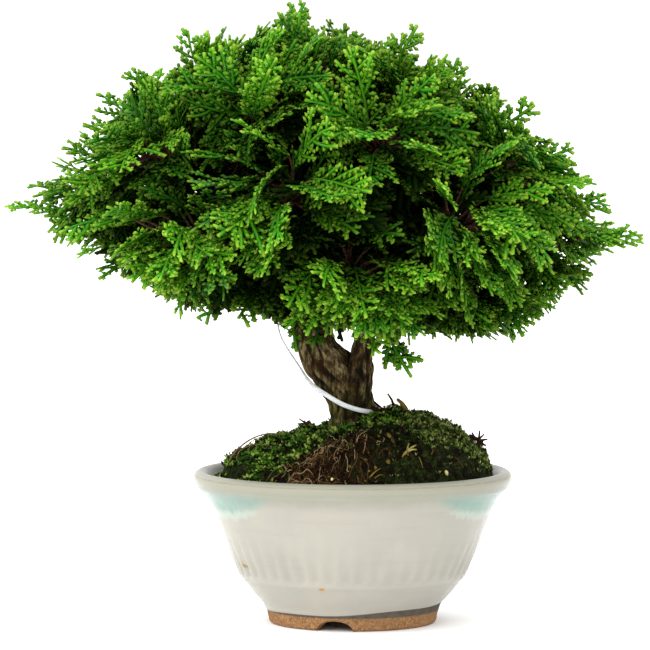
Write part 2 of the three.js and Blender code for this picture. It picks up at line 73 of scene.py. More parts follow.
# Each kind of node: Blender's name, its settings, the sockets that its values go to, the usual
# values of other sockets, and the socket that it gives.
NODES = {
    "object place": ("ShaderNodeTexCoord", {}, (), {}, "Object"),
    "sight": ("ShaderNodeTexCoord", {}, (), {}, "Generated"),
    "centre": ("ShaderNodeMapping", {}, ("Vector", "Location", "Scale"), {}, 0),
    "stretch": ("ShaderNodeMapping", {}, ("Vector", "Scale"), {}, 0),
    "noise": (
        "ShaderNodeTexNoise", {},
        ("Vector", "Scale", "Detail", "Roughness"), {"Detail": 3.0, "Roughness": 0.55}, 0,
    ),
    "cells": ("ShaderNodeTexVoronoi", {}, ("Vector", "Scale"), {}, "Distance"),
    "growth": ("ShaderNodeAttribute", {"attribute_name": "growth"}, (), {}, "Color"),
    "channels": ("ShaderNodeSeparateColor", {}, (0,), {}, 0),
    "parts": ("ShaderNodeSeparateXYZ", {}, (0,), {}, 0),
    "point": ("ShaderNodeCombineXYZ", {}, (0, 1), {}, 0),
    "ramp": ("ShaderNodeValToRGB", {}, (0,), {}, 0),
    "blend": ("ShaderNodeMix", {"data_type": "RGBA"}, (0, 6, 7), {}, 2),
    "number blend": ("ShaderNodeMix", {}, (0, 2, 3), {}, 0),
    "normal blend": ("ShaderNodeMix", {"data_type": "VECTOR"}, (0, 4, 5), {}, 1),
    "band": (
        "ShaderNodeMapRange", {"interpolation_type": "SMOOTHSTEP"},
        ("Value", "From Min", "From Max", "To Min", "To Max"), {}, 0,
    ),
    "clamp": ("ShaderNodeClamp", {}, (0,), {}, 0),
    "bump": ("ShaderNodeBump", {}, ("Height", "Distance", "Strength"), {}, 0),
    "surface": ("ShaderNodeBsdfPrincipled", {}, (), {}, 0),
    "output": ("ShaderNodeOutputMaterial", {}, ("Surface",), {}, None),
    "backdrop": ("ShaderNodeBackground", {}, ("Color", "Strength"), {}, 0),
    "world output": ("ShaderNodeOutputWorld", {}, ("Surface",), {}, None),
    "vector minus": ("ShaderNodeVectorMath", {"operation": "SUBTRACT"}, (0, 1), {}, 0),
    "scaled": ("ShaderNodeVectorMath", {"operation": "SCALE"}, (0, "Scale"), {}, 0),
    "dot": ("ShaderNodeVectorMath", {"operation": "DOT_PRODUCT"}, (0, 1), {}, "Value"),
    "length": ("ShaderNodeVectorMath", {"operation": "LENGTH"}, (0,), {}, "Value"),
    "distance": ("ShaderNodeVectorMath", {"operation": "DISTANCE"}, (0, 1), {}, "Value"),
}
SUMS = {
    "plus": "ADD", "minus": "SUBTRACT", "times": "MULTIPLY", "over": "DIVIDE", "power": "POWER",
    "larger": "MAXIMUM", "below": "LESS_THAN", "size": "ABSOLUTE", "sine": "SINE", "angle": "ARCTAN2",
    "wrap": "WRAP",
}
for word, operation in SUMS.items():
    NODES[word] = ("ShaderNodeMath", {"operation": operation}, (0, 1, 2), {}, 0)


def linear(code):
    """An sRGB hex colour as linear red, green, blue and a full alpha."""
    channels = [int(code[i : i + 2], 16) / 255 for i in (1, 3, 5)]
    return (*[c / 12.92 if c <= 0.04045 else ((c + 0.055) / 1.055) ** 2.4 for c in channels], 1.0)


def add(tree, kind, *values, ramp=None, **named):
    """Adds one node of a kind in NODES and returns the socket that it gives.

    Values go to the kind's sockets in order and named values to the socket of that name, an
    underscore standing for a space. A value is a number, a colour or the socket that feeds it.
    """
    blender_name, settings, sockets, usual, given = NODES[kind]
    made = tree.nodes.new(blender_name)
    for name, value in settings.items():
        setattr(made, name, value)
    if ramp:
        stops = made.color_ramp.elements
        while len(stops) < len(ramp):
            stops.new(1.0)
        for stop, (position, colour) in zip(stops, ramp):
            stop.position = position
            stop.color = linear(colour)
    spaced = {name.replace("_", " "): value for name, value in named.items()}
    for name, value in {**usual, **dict(zip(sockets, values)), **spaced}.items():
        if isinstance(value, bpy.types.NodeSocket):
            tree.links.new(value, made.inputs[name])
        else:
            made.inputs[name].default_value = linear(value) if isinstance(value, str) else value
    return made if given is None else made.outputs[given]


def material(name):
    """An empty node material, the function that adds its nodes, and places in mm from the pot's axis."""
    made = bpy.data.materials.new(name)
    made.use_nodes = True
    made.node_tree.nodes.clear()
    node = functools.partial(add, made.node_tree)
    place = node("centre", node("object place"), tuple(-POT_AXIS / MM), (1 / MM,) * 3)
    return made, node, place


def growth_channels(node):
    """The four numbers that a mesh keeps at each point."""
    colour = node("growth")
    red, green, blue = node("channels", colour).node.outputs
    return red, green, blue, colour.node.outputs["Alpha"]


def between(node, value, start, full, fading, end):
    """A share that rises to 1 from start to full and falls to 0 from fading to end."""
    return node("times", node("band", value, start, full), node("band", value, fading, end, 1.0, 0.0))


def coated(node, colour, coats):
    """A colour with coats over it in order, each a share and the colour that it brings."""
    for share, coat in coats:
        colour = node("blend", share, colour, coat)
    return colour


# ---------------------------------------------------------------- arrays and meshes


def unit(vectors):
    """Vectors of length one."""
    return vectors / np.maximum(np.linalg.norm(vectors, axis=-1, keepdims=True), 1e-9)


def square_to(heading, vector):
    """The part of a vector that stands square to a heading, of length one."""
    return unit(vector - heading * (vector @ heading))


def round_turns(count):
    """Turns in radians, evenly spaced once round."""
    return np.arange(count) / count * 2 * np.pi


def ring_points(radius, turn, height):
    """Points at a radius and a turn round the upright axis."""
    return np.stack([radius * np.cos(turn), radius * np.sin(turn), height], axis=-1)


def level_points(x, y):
    """Points at places x, y and height zero."""
    return np.stack([x, y, np.zeros_like(x)], axis=-1)


def shades_of(*channels):
    """The four channels of the colour attribute at each point, from arrays or single numbers."""
    return np.stack(np.broadcast_arrays(*channels), axis=-1)


def smooth_step(share):
    """A share from 0 to 1 eased at both ends."""
    return share * share * (3 - 2 * share)


def scatter(number):
    """A repeatable value from 0 to 1 for each whole number."""
    wave = np.sin(number * 12.9898 + 4.1414) * 43758.5453
    return wave - np.floor(wave)


def lattice(x, y, z, seed):
    """A repeatable value from 0 to 1 at whole-number points: large odd multiples, folded together."""
    n = ((x * 73856093) ^ (y * 19349663) ^ (z * 83492791) ^ (seed * 26544357)) & 0xFFFFFFFF
    n = ((n ^ (n >> 15)) * 2246822519) & 0xFFFFFFFF
    n = ((n ^ (n >> 13)) * 3266489917) & 0xFFFFFFFF
    return ((n ^ (n >> 16)) & 0xFFFFFF) / 0xFFFFFF


def value_noise(points, size, seed):
    """Noise from -1 to 1: the eight lattice values round a point, blended by smooth steps."""
    place = points / np.asarray(size, float)
    cell = np.floor(place).astype(np.int64)
    share = smooth_step(place - cell)
    total = np.zeros(place.shape[:-1])
    for corner in range(8):
        step = np.array([corner & 1, corner >> 1 & 1, corner >> 2])
        weight = np.prod(np.where(step == 1, share, 1 - share), axis=-1)
        x, y, z = np.moveaxis(cell + step, -1, 0)
        total += weight * lattice(x, y, z, seed)
    return 2 * total - 1


def fractal(points, size, octaves, seed):
    """Value noise summed over octaves: each is half as large and half as strong as the last."""
    size = np.asarray(size, float)
    total = sum(value_noise(points, size / 2**k, seed + k) / 2**k for k in range(octaves))
    return total / (2 - 2 ** (1 - octaves))


SMALLEST_GAP = 1e-6


def smooth_curve(points, at, closed=False):
    """A centripetal Catmull-Rom curve through points, at places from 0 to 1.

    Between two points it is the cubic whose end slopes come from the roots of the distances
    to the points before and after.
    """
    points = np.asarray(points, float)
    count = len(points)
    place = np.asarray(at, float) * (count if closed else count - 1)
    before = np.floor(place).astype(int)
    if closed:
        before %= count
        near = [points[(before + k) % count] for k in (-1, 0, 1, 2)]
        s = (place - np.floor(place))[:, None]
    else:
        before = np.clip(before, 0, count - 2)
        s = (place - before)[:, None]
        ends = np.vstack([2 * points[:1] - points[1:2], points, 2 * points[-1:] - points[-2:-1]])
        near = [ends[before + k] for k in range(4)]
    p0, p1, p2, p3 = near
    gaps = [np.linalg.norm(b[:, :3] - a[:, :3], axis=1)[:, None] for a, b in zip(near, near[1:])]
    d0, d1, d2 = [np.maximum(gap, SMALLEST_GAP) ** 0.5 for gap in gaps]
    slope_1 = ((p1 - p0) / d0 - (p2 - p0) / (d0 + d1) + (p2 - p1) / d1) * d1
    slope_2 = ((p2 - p1) / d1 - (p3 - p1) / (d1 + d2) + (p3 - p2) / d2) * d1
    start = (2 * s**3 - 3 * s**2 + 1) * p1 + (s**3 - 2 * s**2 + s) * slope_1
    return start + (3 * s**2 - 2 * s**3) * p2 + (s**3 - s**2) * slope_2


def grid_faces(rows, columns, wrap_rows=False):
    """Four-cornered faces of a grid closed sideways: a point's number is row times columns plus column."""
    r = np.arange(rows if wrap_rows else rows - 1)[:, None]
    c = np.arange(columns)[None, :]
    r2, c2 = (r + 1) % rows, (c + 1) % columns
    corners = [r * columns + c, r * columns + c2, r2 * columns + c2, r2 * columns + c]
    return np.stack([np.broadcast_to(k, (r.size, c.size)) for k in corners], axis=-1).reshape(-1, 4)


def end_caps(rows, columns):
    """A grid's first and last rows as faces with as many corners as the row has points."""
    ring = np.arange(columns)
    return ring[::-1][None], (ring + (rows - 1) * columns)[None]


def tubes(paths, radii, sides):
    """Closed round tubes along paths of shape (tubes, stations, 3), with a radius for each station.

    A point is the centre plus the radius times the cosine and sine of its turn along two
    directions square to the path. Returns points and lists of faces, the ends capped.
    """
    paths = np.asarray(paths, float)
    count, stations = paths.shape[:2]
    heading = unit(np.gradient(paths, axis=1))
    mean = unit(paths[:, -1] - paths[:, 0])
    steep = np.abs(mean[:, 2:3]) > 0.8
    helper = np.where(steep, [[1.0, 0.0, 0.0]], [[0.0, 0.0, 1.0]])[:, None, :]
    across = unit(np.cross(np.broadcast_to(helper, heading.shape), heading))
    upright = np.cross(heading, across)
    turn = round_turns(sides)[:, None]
    ring = np.cos(turn) * across[:, :, None, :] + np.sin(turn) * upright[:, :, None, :]
    points = paths[:, :, None, :] + np.asarray(radii, float)[:, :, None, None] * ring
    shift = np.arange(count)[:, None, None] * stations * sides
    walls = (grid_faces(stations, sides)[None] + shift).reshape(-1, 4)
    caps = [cap + shift[:, 0] for cap in end_caps(stations, sides)]
    return points.reshape(-1, 3), [walls, *caps]


def piece(name, parts, finishes, stands_for=()):
    """Makes one finished object riding on the frame.

    parts holds (points, lists of faces, finish number, shades) for each part of the mesh, with
    points in millimetres from the pot's axis. Shades are the colour attribute, four numbers for
    each point or for all.
    """
    points, corners, totals, finish, shades = [], [], [], [], []
    start = 0
    for part_points, part_faces, number, part_shades in parts:
        for faces in part_faces:
            corners.append((faces + start).ravel())
            totals.append(np.full(len(faces), faces.shape[1]))
            finish.append(np.full(len(faces), number))
        points.append(part_points)
        shades.append(np.broadcast_to(part_shades, (len(part_points), 4)))
        start += len(part_points)
    points = np.concatenate(points) * MM + POT_AXIS
    corners, totals = np.concatenate(corners), np.concatenate(totals)
    mesh = bpy.data.meshes.new(name)
    mesh.vertices.add(len(points))
    mesh.vertices.foreach_set("co", points.ravel())
    mesh.loops.add(len(corners))
    mesh.loops.foreach_set("vertex_index", corners)
    mesh.polygons.add(len(totals))
    mesh.polygons.foreach_set("loop_start", np.cumsum(totals) - totals)
    mesh.update(calc_edges=True)
    mesh.polygons.foreach_set("material_index", np.concatenate(finish))
    mesh.polygons.foreach_set("use_smooth", np.full(len(totals), True))
    growth = mesh.color_attributes.new("growth", "FLOAT_COLOR", "POINT")
    growth.data.foreach_set("color", np.concatenate(shades).ravel())
    mesh.validate()
    for one in finishes:
        mesh.materials.append(one)
    made = bpy.data.objects.new(name, mesh)
    bpy.context.scene.collection.objects.link(made)
    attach(made, "root")
    if stands_for:
        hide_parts(*stands_for)


# ---------------------------------------------------------------- pot

# Radius and height of points round the pot's section: foot, outer wall and lip, inside and floor.
FOOT_PROFILE = [
    (28.5, 0), (30.5, 0), (32.5, 0), (33.4, 0.1), (33.9, 0.4), (34.2, 0.9), (34.35, 1.7),
    (34.5, 2.6), (34.75, 3.6), (34.95, 4.6),
]
WALL_PROFILE = [
    (35.2, 5.4), (36.4, 8.2), (40.6, 13.2), (44.3, 17.8), (46.2, 20.5), (50.2, 29.6), (54.7, 41.7),
    (57.6, 48.6), (59.1, 51.4), (61.3, 53.8), (63.8, 56.2), (65, 59), (64.2, 61.2), (62.4, 62.2),
    (60.3, 61.6), (58.4, 59.5), (54.5, 50),
]
INSIDE_PROFILE = [
    (48, 35), (41, 19.5), (35.5, 13.8), (30.5, 10.2), (18, 10.2), (7.6, 10.2), (7.25, 9.8), (7.25, 4.8),
    (7.6, 4.4), (18, 4.4), (28, 4.4), (28.25, 2.2),
]
WALL_POINTS = 81
POT_COLUMNS = 324
OUTSIDE_POINTS = 51
WALL_RADIUS = 55.0
FOOT_RADIUS = 31
FOOT_RING_INSIDE = 27
NOTCH_HALF_WIDTH = 7.0
NOTCH_HEIGHT = 4.0
NOTCH_TURNS = np.radians([-103, 17, 137])
GLAZE_THICKNESS = 0.4
GLAZE_RIPPLE = 0.12
CLAY_SET_BACK = 0.1
GLAZE_EDGE = 7.4
GLAZE_EDGE_TILT = 1.7
GLAZE_EDGE_TURN = math.radians(75)
GLAZE_EDGE_RIPPLE = 0.3
GLAZE_EDGE_RIPPLES = 5.0
FLUTE_LOW, FLUTE_HIGH = 19.8, 37.0
FLUTE_FADE = 15
FLUTE_FOOT = 2.2
FLUTE_FOOT_SLOPE = 1.6
KINK_BEAD = 0.35
KINK_BEAD_HEIGHT = 1.1
PATCH_TURNS = [math.radians(turn) for turn in (-158, -22, 95)]
PATCH_HALF_TURN = math.radians(38)
PATCH_LOWEST = 43.2
PATCH_SAG = 11.0
# Start, end, width, colour and strength of each run of coloured glaze.
GLAZE_RUNS = [
    ((-45.8, -24.2, 33.6), (-43.5, -22.8, 26.9), 0.8, "#9a8a5a", 0.55),
    ((-45.3, -19.1, 26.9), (-44.2, -19.5, 25.2), 1.1, "#a08c3c", 0.75),
    ((-44.2, -19.5, 25.2), (-42.4, -22.6, 24.7), 1.1, "#857240", 0.85),
    ((-12.9, -43.1, 18.3), (-12.2, -43.3, 18.5), 1.2, "#b08030", 0.9),
]


def glaze_edge(turn):
    """Height of the glaze's lower edge: level, tilted by one slow wave and rippled by a quick one."""
    ripple = GLAZE_EDGE_RIPPLE * np.sin(GLAZE_EDGE_RIPPLES * turn + 1.0)
    return GLAZE_EDGE + GLAZE_EDGE_TILT * np.sin(turn + GLAZE_EDGE_TURN) + ripple


def flute_hollow(turn, height, flutes):
    """How deep a place lies in the flutes, from 0 to 1.

    Each flute is a smooth hollow that ends in a round foot at the kink and fades upwards. Slow
    waves round the pot make the flutes uneven in width, length and depth.
    """
    across = 0.5 - 0.5 * np.cos(flutes * turn + 0.4 * np.sin(turn * 3))
    foot = FLUTE_LOW + FLUTE_FOOT * (1 - across) ** 1.5
    rise = np.clip((height - foot) / FLUTE_FOOT_SLOPE, 0, 1)
    fade = np.clip((FLUTE_HIGH + 3 * np.sin(3 * turn + 2) - height) / FLUTE_FADE, 0, 1)
    strength = 0.78 + 0.22 * np.sin(1.9 * np.sin(turn) + 5 * np.cos(turn) + 1.2) * np.cos(7 * turn)
    return smooth_step(rise) * fade * across**0.8 * strength


def pot_surface(columns, flutes, flute_depth):
    """The pot's wall: its profile turned round the axis.

    The radius loses the flutes and gains a bead at the kink, the glaze's thickness above its edge
    and a slight ripple. The foot's underside is lifted to a half ellipse at each of three notches.
    """
    wall = smooth_curve(WALL_PROFILE, np.linspace(0, 1, WALL_POINTS))
    profile = np.vstack([FOOT_PROFILE, wall, INSIDE_PROFILE])
    turn = round_turns(columns)
    radius = np.repeat(profile[:, :1], columns, axis=1)
    height = np.repeat(profile[:, 1:], columns, axis=1)
    outside = (np.arange(len(profile)) < len(FOOT_PROFILE) + OUTSIDE_POINTS)[:, None]
    hollow = flute_hollow(turn, height, flutes)
    radius = radius - outside * flute_depth * hollow
    bead = np.exp(-(((height - FLUTE_LOW + 0.9) / KINK_BEAD_HEIGHT) ** 2))
    radius = radius + outside * KINK_BEAD * bead
    glazed = np.clip((height - glaze_edge(turn)) / 0.9, 0, 1)
    radius = radius + outside * (GLAZE_THICKNESS * glazed - CLAY_SET_BACK)
    ripple = fractal(ring_points(radius, turn, height), (9, 9, 1.6), 2, 5)
    radius = radius + outside * GLAZE_RIPPLE * ripple
    away = [np.abs((turn - notch + np.pi) % (2 * np.pi) - np.pi) * FOOT_RADIUS for notch in NOTCH_TURNS]
    inside_arch = np.clip(1 - (np.minimum.reduce(away) / NOTCH_HALF_WIDTH) ** 2, 0, 1)
    arch = NOTCH_HEIGHT * np.sqrt(inside_arch)
    low = (profile[:, 0] > FOOT_RING_INSIDE)[:, None] & (height < NOTCH_HEIGHT + 0.4)
    height = np.where(low, np.maximum(height, arch + 0.1 * height), height)
    shades = shades_of(outside * hollow, 0.0, 0.0, 0.0).reshape(-1, 4)
    faces = [grid_faces(len(profile), columns, wrap_rows=True)]
    return ring_points(radius, turn, height).reshape(-1, 3), faces, 0, shades


def glaze_patches(node, turn, flat, z):
    """How far a place lies inside the aqua patches under the rim, in millimetres.

    Each patch has a lower edge that sags in the middle, and drips run down from it.
    """
    drip = node("times", node("noise", node("stretch", flat, (1.0, 0.15, 1.0)), 1 / 2.6, 2.0), 4.0)
    inside = None
    for centre in PATCH_TURNS:
        away = node("wrap", node("minus", turn, centre), math.pi, -math.pi)
        sag = node("power", node("size", node("over", away, PATCH_HALF_TURN)), 2.4)
        edge = node("plus", node("times", sag, PATCH_SAG), PATCH_LOWEST)
        deep = node("minus", z, node("plus", edge, drip))
        inside = deep if inside is None else node("larger", inside, deep)
    return inside


def glaze_run(node, place, start, end, wide, strength):
    """A share that fades across a run of glaze: the distance to the line from start to end."""
    run = np.array(end, float) - start
    from_start = node("vector minus", place, start)
    passed = node("clamp", node("dot", from_start, tuple(run / (run @ run))))
    far = node("distance", from_start, node("scaled", tuple(run), passed))
    return node("band", far, wide * 0.35, wide, strength, 0.0)


def glaze_colour(node, sizes, place, turn, radius, z):
    """The glaze's colour: cream in soft clouds and streaks, greyer in the flutes and under the rim.

    It gathers in aqua patches under the rim, breaks brown over the lip's two edges, and carries a
    few iron specks and coloured runs.
    """
    flat = node("point", node("times", turn, WALL_RADIUS), z)
    streak = node("noise", node("stretch", place, (1.0, 1.0, 0.18)), 1 / 5)
    ring = node("noise", node("stretch", place, (0.12, 0.12, 1.0)), 1 / 3, 2.0)
    kink = between(node, z, 17.6, 18.8, 19.2, 20.2)
    under_rim = node("band", node("plus", z, node("times", streak, 5.0)), 52.5, 61.0)
    patch = glaze_patches(node, turn, flat, z)
    pool = node("times", node("band", patch, -2.0, 4.5), node("band", z, 53.0, 57.5, 1.0, 0.0))
    combed = node("noise", node("stretch", flat, (1.0, 0.3, 1.0)), 1 / 2)
    fringe = between(node, patch, -2.0, 0.5, 1.0, 4.0)
    fringe = node("times", fringe, node("band", z, 48.0, 51.0, 1.0, 0.0))
    # Thin brown lines where the glaze breaks over the lip's two edges.
    waver = node("times", node("minus", node("noise", place, 1 / 9), 0.5), 0.8)
    outer = between(node, node("plus", z, waver), 60.1, 60.4, 60.6, 61.0)
    outer = node("times", outer, node("band", node("noise", place, 1 / 6), 0.3, 0.6, 0.15, 0.5))
    outer = node("times", outer, node("band", radius, 62.4, 63.2))
    inner = node("times", node("band", radius, 59.0, 59.9, 0.85, 0.0), node("band", z, 59.2, 60.0))
    # Iron specks: a few dark dots, far apart.
    cells = node("cells", place, 1 / 6.5)
    chance, pick, _ = node("channels", cells.node.outputs["Color"]).node.outputs
    speck = node("below", cells, node("times", chance, 0.075))
    coats = [
        (node("band", node("noise", place, 1 / 22), 0.3, 0.7), "#a19e95"),
        (node("band", streak, 0.45, 0.75, 0.0, 0.25), "#aba79c"),
        (node("band", ring, 0.5, 0.8, 0.0, 0.2), "#928e82"),
        # Greyer in the flutes: glaze pooled in the hollows, and painted shade there.
        (node("times", growth_channels(node)[0], 0.38), "#8c897e"),
        (node("times", kink, 0.35), "#aaa79c"),
        (node("times", under_rim, 0.85), "#8d8d7e"),
        (node("times", pool, node("band", combed, 0.3, 0.65, 0.6, 0.95)), (*sizes.patch, 1.0)),
        (node("times", fringe, 0.55), "#adb9ae"),
        (node("times", pool, node("band", z, 49.0, 56.0, 0.0, 0.55)), "#7a8f86"),
        (node("larger", outer, inner), "#7c6f50"),
        (node("times", speck, node("band", pick, 0.55, 0.6, 0.0, 0.8)), "#6d5c45"),
    ]
    for start, end, wide, tint, strength in GLAZE_RUNS:
        coats.append((glaze_run(node, place, start, end, wide, strength), tint))
    return coated(node, (*sizes.glaze, 1.0), coats)


def clay_colour(node, place, grain, radius, z):
    """The bare body's colour: brown grained clay on the foot, under a grey-brown wash above it."""
    tones = [(0.28, "#4e3727"), (0.42, "#815d3d"), (0.58, "#a0784f"), (0.74, "#b69a72")]
    clay = node("ramp", grain, ramp=tones)
    clay = node("blend", node("band", node("noise", place, 1 / 14), 0.4, 0.65, 0.0, 0.5), clay, "#7a5b3f")
    wash = node("blend", node("noise", place, 1 / 2.5), "#3c3630", "#645d53")
    lower_wall = node("blend", node("band", z, 5.0, 5.7), clay, wash)
    return node("blend", node("band", radius, 33.0, 33.6), clay, lower_wall)


def glazed_stoneware(sizes):
    """Stoneware, thrown and dipped: a glossy cream glaze over a brown iron-bearing body.

    The glaze stops above the bare foot, along the edge that glaze_edge() gives.
    """
    made, node, place = material("glazed_stoneware")
    x, y, z = node("parts", place).node.outputs
    turn = node("angle", y, x)
    radius = node("length", node("point", x, y))
    wave = node("times", node("sine", node("plus", turn, GLAZE_EDGE_TURN)), GLAZE_EDGE_TILT)
    ripple = node("sine", node("plus", node("times", turn, GLAZE_EDGE_RIPPLES), 1.0))
    tilt = node("plus", wave, node("times", ripple, GLAZE_EDGE_RIPPLE))
    glazed = node("band", node("minus", node("minus", z, GLAZE_EDGE), tilt), -0.1, 0.35)
    grain = node("noise", place, 1 / 0.9, 3.0, 0.7)
    pores = node("bump", grain, 0.5 * MM, 0.8)
    skin = node("bump", node("noise", place, 1 / 7), 0.5 * MM, 0.35)
    body = clay_colour(node, place, grain, radius, z)
    cream = glaze_colour(node, sizes, place, turn, radius, z)
    colour = node("blend", glazed, body, cream)
    relief = node("normal blend", glazed, pores, skin)
    rough = node("number blend", glazed, 0.85, 0.22)
    finish = node(
        "surface", Base_Color=colour, Normal=relief, Roughness=rough, IOR=1.42, Specular_IOR_Level=0.2,
    )
    node("output", finish)
    return made


# ---------------------------------------------------------------- root ball, moss and litter

MOUND_EDGE_RADIUS = 57.6
MOUND_EDGE_Z = 58.5
LEFT_EDGE_RADIUS = 53.6
GUTTER_SLOPE = 4
SOIL_CENTRE_RADIUS = 0.4
SOIL_RECESS = 13.4
SOIL_UNDER = [(14.6, SOIL_RECESS), (15, 10.5), (30.11, 10.5), (40.61, 19.8), (54.11, 50.3), (56.6, 56.2)]
SOIL_COLUMNS, SOIL_ROWS = 260, 72
MOUND_RISE, RIGHT_SIDE_RISE = 20, 10.3
LUMP_HEIGHT = 1.1
STEM_DIP, STEM_DIP_RADIUS = 2.5, 18
# One seed for each draw, so that a change to one leaves the others as they are.
SEEDS = {
    "moss places": 21, "moss": 22, "grey moss": 23, "grey moss places": 24, "roots": 41, "root paths": 42,
    "crumb places": 43, "crumbs": 44, "kept crumbs": 45, "stem bark": 51, "limb bark": 71,
}


def mound_height(radius, turn):
    """Height of the mound: a dome that is fuller on the right, with low lumps and a dip at the stem.

    It falls from the stem by a parabola and, near the pot, by a high power of the radius. On the
    left it stops short of the pot, in a steep edge with a gutter behind it.
    """
    right = (1 + np.cos(turn)) / 2
    share = np.minimum(radius / MOUND_EDGE_RADIUS, 1)
    rise = MOUND_RISE + RIGHT_SIDE_RISE * right**1.5
    slope = 0.1 + np.abs(np.cos(turn)) * (0.4 + 0.15 * right)
    fall = slope * share**2 + (1 - slope) * share ** (6 + 20 * right**4)
    lumps = np.sin(radius * 0.31 + 3 * turn) * np.cos(radius * 0.17 - 4 * turn)
    dip = STEM_DIP * np.maximum(0, 1 - radius / STEM_DIP_RADIUS)
    height = MOUND_EDGE_Z + rise * (1 - fall) + LUMP_HEIGHT * lumps * (1 - share**6) - dip
    left = np.clip(-1.5 * np.cos(turn) - 0.35, 0, 1)
    gutter = MOUND_EDGE_Z + GUTTER_SLOPE * np.maximum(0, LEFT_EDGE_RADIUS - radius) + MOUND_RISE * (1 - left)
    return np.minimum(height, gutter)


def soft(value, width=5.0):
    """A share that rises from 0 to 1 as a value goes through nought, over a width."""
    return np.clip(0.5 + value / width, 0, 1)


def ground_cover(x, y):
    """How much of each cover lies at a place: bright moss, grey moss and bare roots, from 0 to 1.

    Bright moss lies on the left and behind, grey moss on the right, and bare roots in an oval at
    the front. Two noises make their borders wander.
    """
    place = level_points(x, y)
    stray = 7 * value_noise(place, 11, 31) + 4 * value_noise(place, 5, 32)
    turn = np.arctan2(y, x)
    radius = np.hypot(x, y)
    left = soft(-x - 6 + stray) * soft(radius - 12 + stray)
    behind = soft(y - 6 + stray) * soft(-x + 16 + stray)
    bright = np.maximum(left, behind)
    grey = soft(x - 10 + stray) * soft(26 - np.abs(radius - 36) + stray)
    grey = grey * soft(x - 18 + 0.55 * np.minimum(y + 20, 0) + 0.7 * stray, 6)
    grey = grey * (0.06 + 0.94 * soft(y + 37 - 0.6 * (x - 28) + 0.7 * stray, 7))
    roots = soft(12 - np.hypot((x + 8) / 1.75, y + 49) + 0.4 * stray)
    bright = bright * (1 - roots) * np.clip(0.66 + 1.2 * value_noise(place, 5, 33), 0.1, 1)
    near_stem = soft(24 - np.hypot(x, y + 6) + 0.5 * stray)
    bright = np.maximum(bright, 0.32 * near_stem * (np.cos(turn + 1.9) > -0.3))
    return bright, grey * (1 - bright), roots


def mound_top(radius, turn):
    """The mound with its cover: moss stands 1 to 2 mm proud in round cushions, bare soil is crumbly."""
    x, y = radius * np.cos(turn), radius * np.sin(turn)
    cover = ground_cover(x, y)
    place = level_points(x, y)
    cushion = 1.6 * value_noise(place, 8.5, 3) + 1.6 * value_noise(place, 3.6, 4)
    crumb = 1.5 * value_noise(place, 3.4, 6) + 1.1 * value_noise(place, 1.8, 7)
    moss = np.maximum(cover[0], cover[1])
    lift = moss * (cushion - 0.7) + (1 - moss) * (crumb - 1.2) + 0.3 * value_noise(place, 0.9, 8)
    inside = np.clip((MOUND_EDGE_RADIUS - radius) / 4, 0, 1)
    return mound_height(radius, turn) + inside * lift, cover


def soil_surface(columns, rows):
    """The root ball: under the mound it follows the pot's inside, with a shallow recess below."""
    turn = round_turns(columns)
    top_radius = MOUND_EDGE_RADIUS * (1 - np.linspace(0, 1, rows) ** 1.15)
    top_radius[-1] = SOIL_CENTRE_RADIUS
    height, cover = mound_top(top_radius[:, None], turn[None, :])
    under_radius, under_z = np.transpose([(SOIL_CENTRE_RADIUS, SOIL_RECESS), *SOIL_UNDER])
    radius = np.append(under_radius, top_radius)
    z = np.vstack([under_z[:, None] * np.ones(columns), height])
    bare = np.zeros((len(under_z), columns))
    shades = shades_of(*[np.vstack([bare, part]) for part in cover], 1.0)
    points = ring_points(radius[:, None], turn, z)
    faces = [grid_faces(len(radius), columns), *end_caps(len(radius), columns)]
    return points.reshape(-1, 3), faces, 0, shades.reshape(-1, 4)


def potting_soil():
    """Potting soil, damp peat and grit, with moss grown over it: dull and dark, green where moss lies."""
    made, node, place = material("potting_soil")
    bright, grey, roots, _ = growth_channels(node)
    grit = node("noise", place, 1 / 1.1, 4.0, 0.7)
    tones = [(0.3, "#020201"), (0.52, "#0a0804"), (0.68, "#1f180b"), (0.8, "#5c4a2a")]
    earth = node("ramp", grit, ramp=tones)
    film = node("band", node("noise", place, 1 / 4, 4.0), 0.4, 0.6, 0.0, 0.75)
    green = node("ramp", grit, ramp=[(0.4, "#080c03"), (0.75, "#3c4b1c")])
    fine, finer = (node("noise", place, 1 / size, 4.0, 0.7) for size in (1.6, 1.3))
    fresh = node("ramp", fine, ramp=[(0.32, "#030501"), (0.52, "#0f1804"), (0.72, "#3a5414")])
    dull = node("ramp", finer, ramp=[(0.32, "#060703"), (0.52, "#171b09"), (0.72, "#4c552c")])
    covers = [(film, green), (bright, fresh), (grey, dull), (node("times", roots, 0.4), "#0e0804")]
    colour = coated(node, earth, covers)
    rough = node("bump", grit, 1.0 * MM, 0.9)
    node("output", node("surface", Base_Color=colour, Roughness=0.95, Normal=rough, Specular_IOR_Level=0.05))
    return made


def stalk_material(name, colours, roughness, specular):
    """Dry or living stalks whose colour runs between four tones by the stalk's own number."""
    made, node, place = material(name)
    tone, share, _, _ = growth_channels(node)
    mixed = node("plus", node("times", tone, 0.8), node("times", node("noise", place, 1 / 1.5), 0.25))
    colour = node("ramp", mixed, ramp=list(zip((0.1, 0.4, 0.65, 0.9), colours)))
    # Painted shade: where the second channel falls below 1 the colour is blended towards black, at the foot
    # of each moss leaflet and a little over the arched roots.
    colour = node("blend", share, node("blend", 0.75, colour, "#000000"), colour)
    node("output", node("surface", Base_Color=colour, Roughness=roughness, Specular_IOR_Level=specular))
    return made


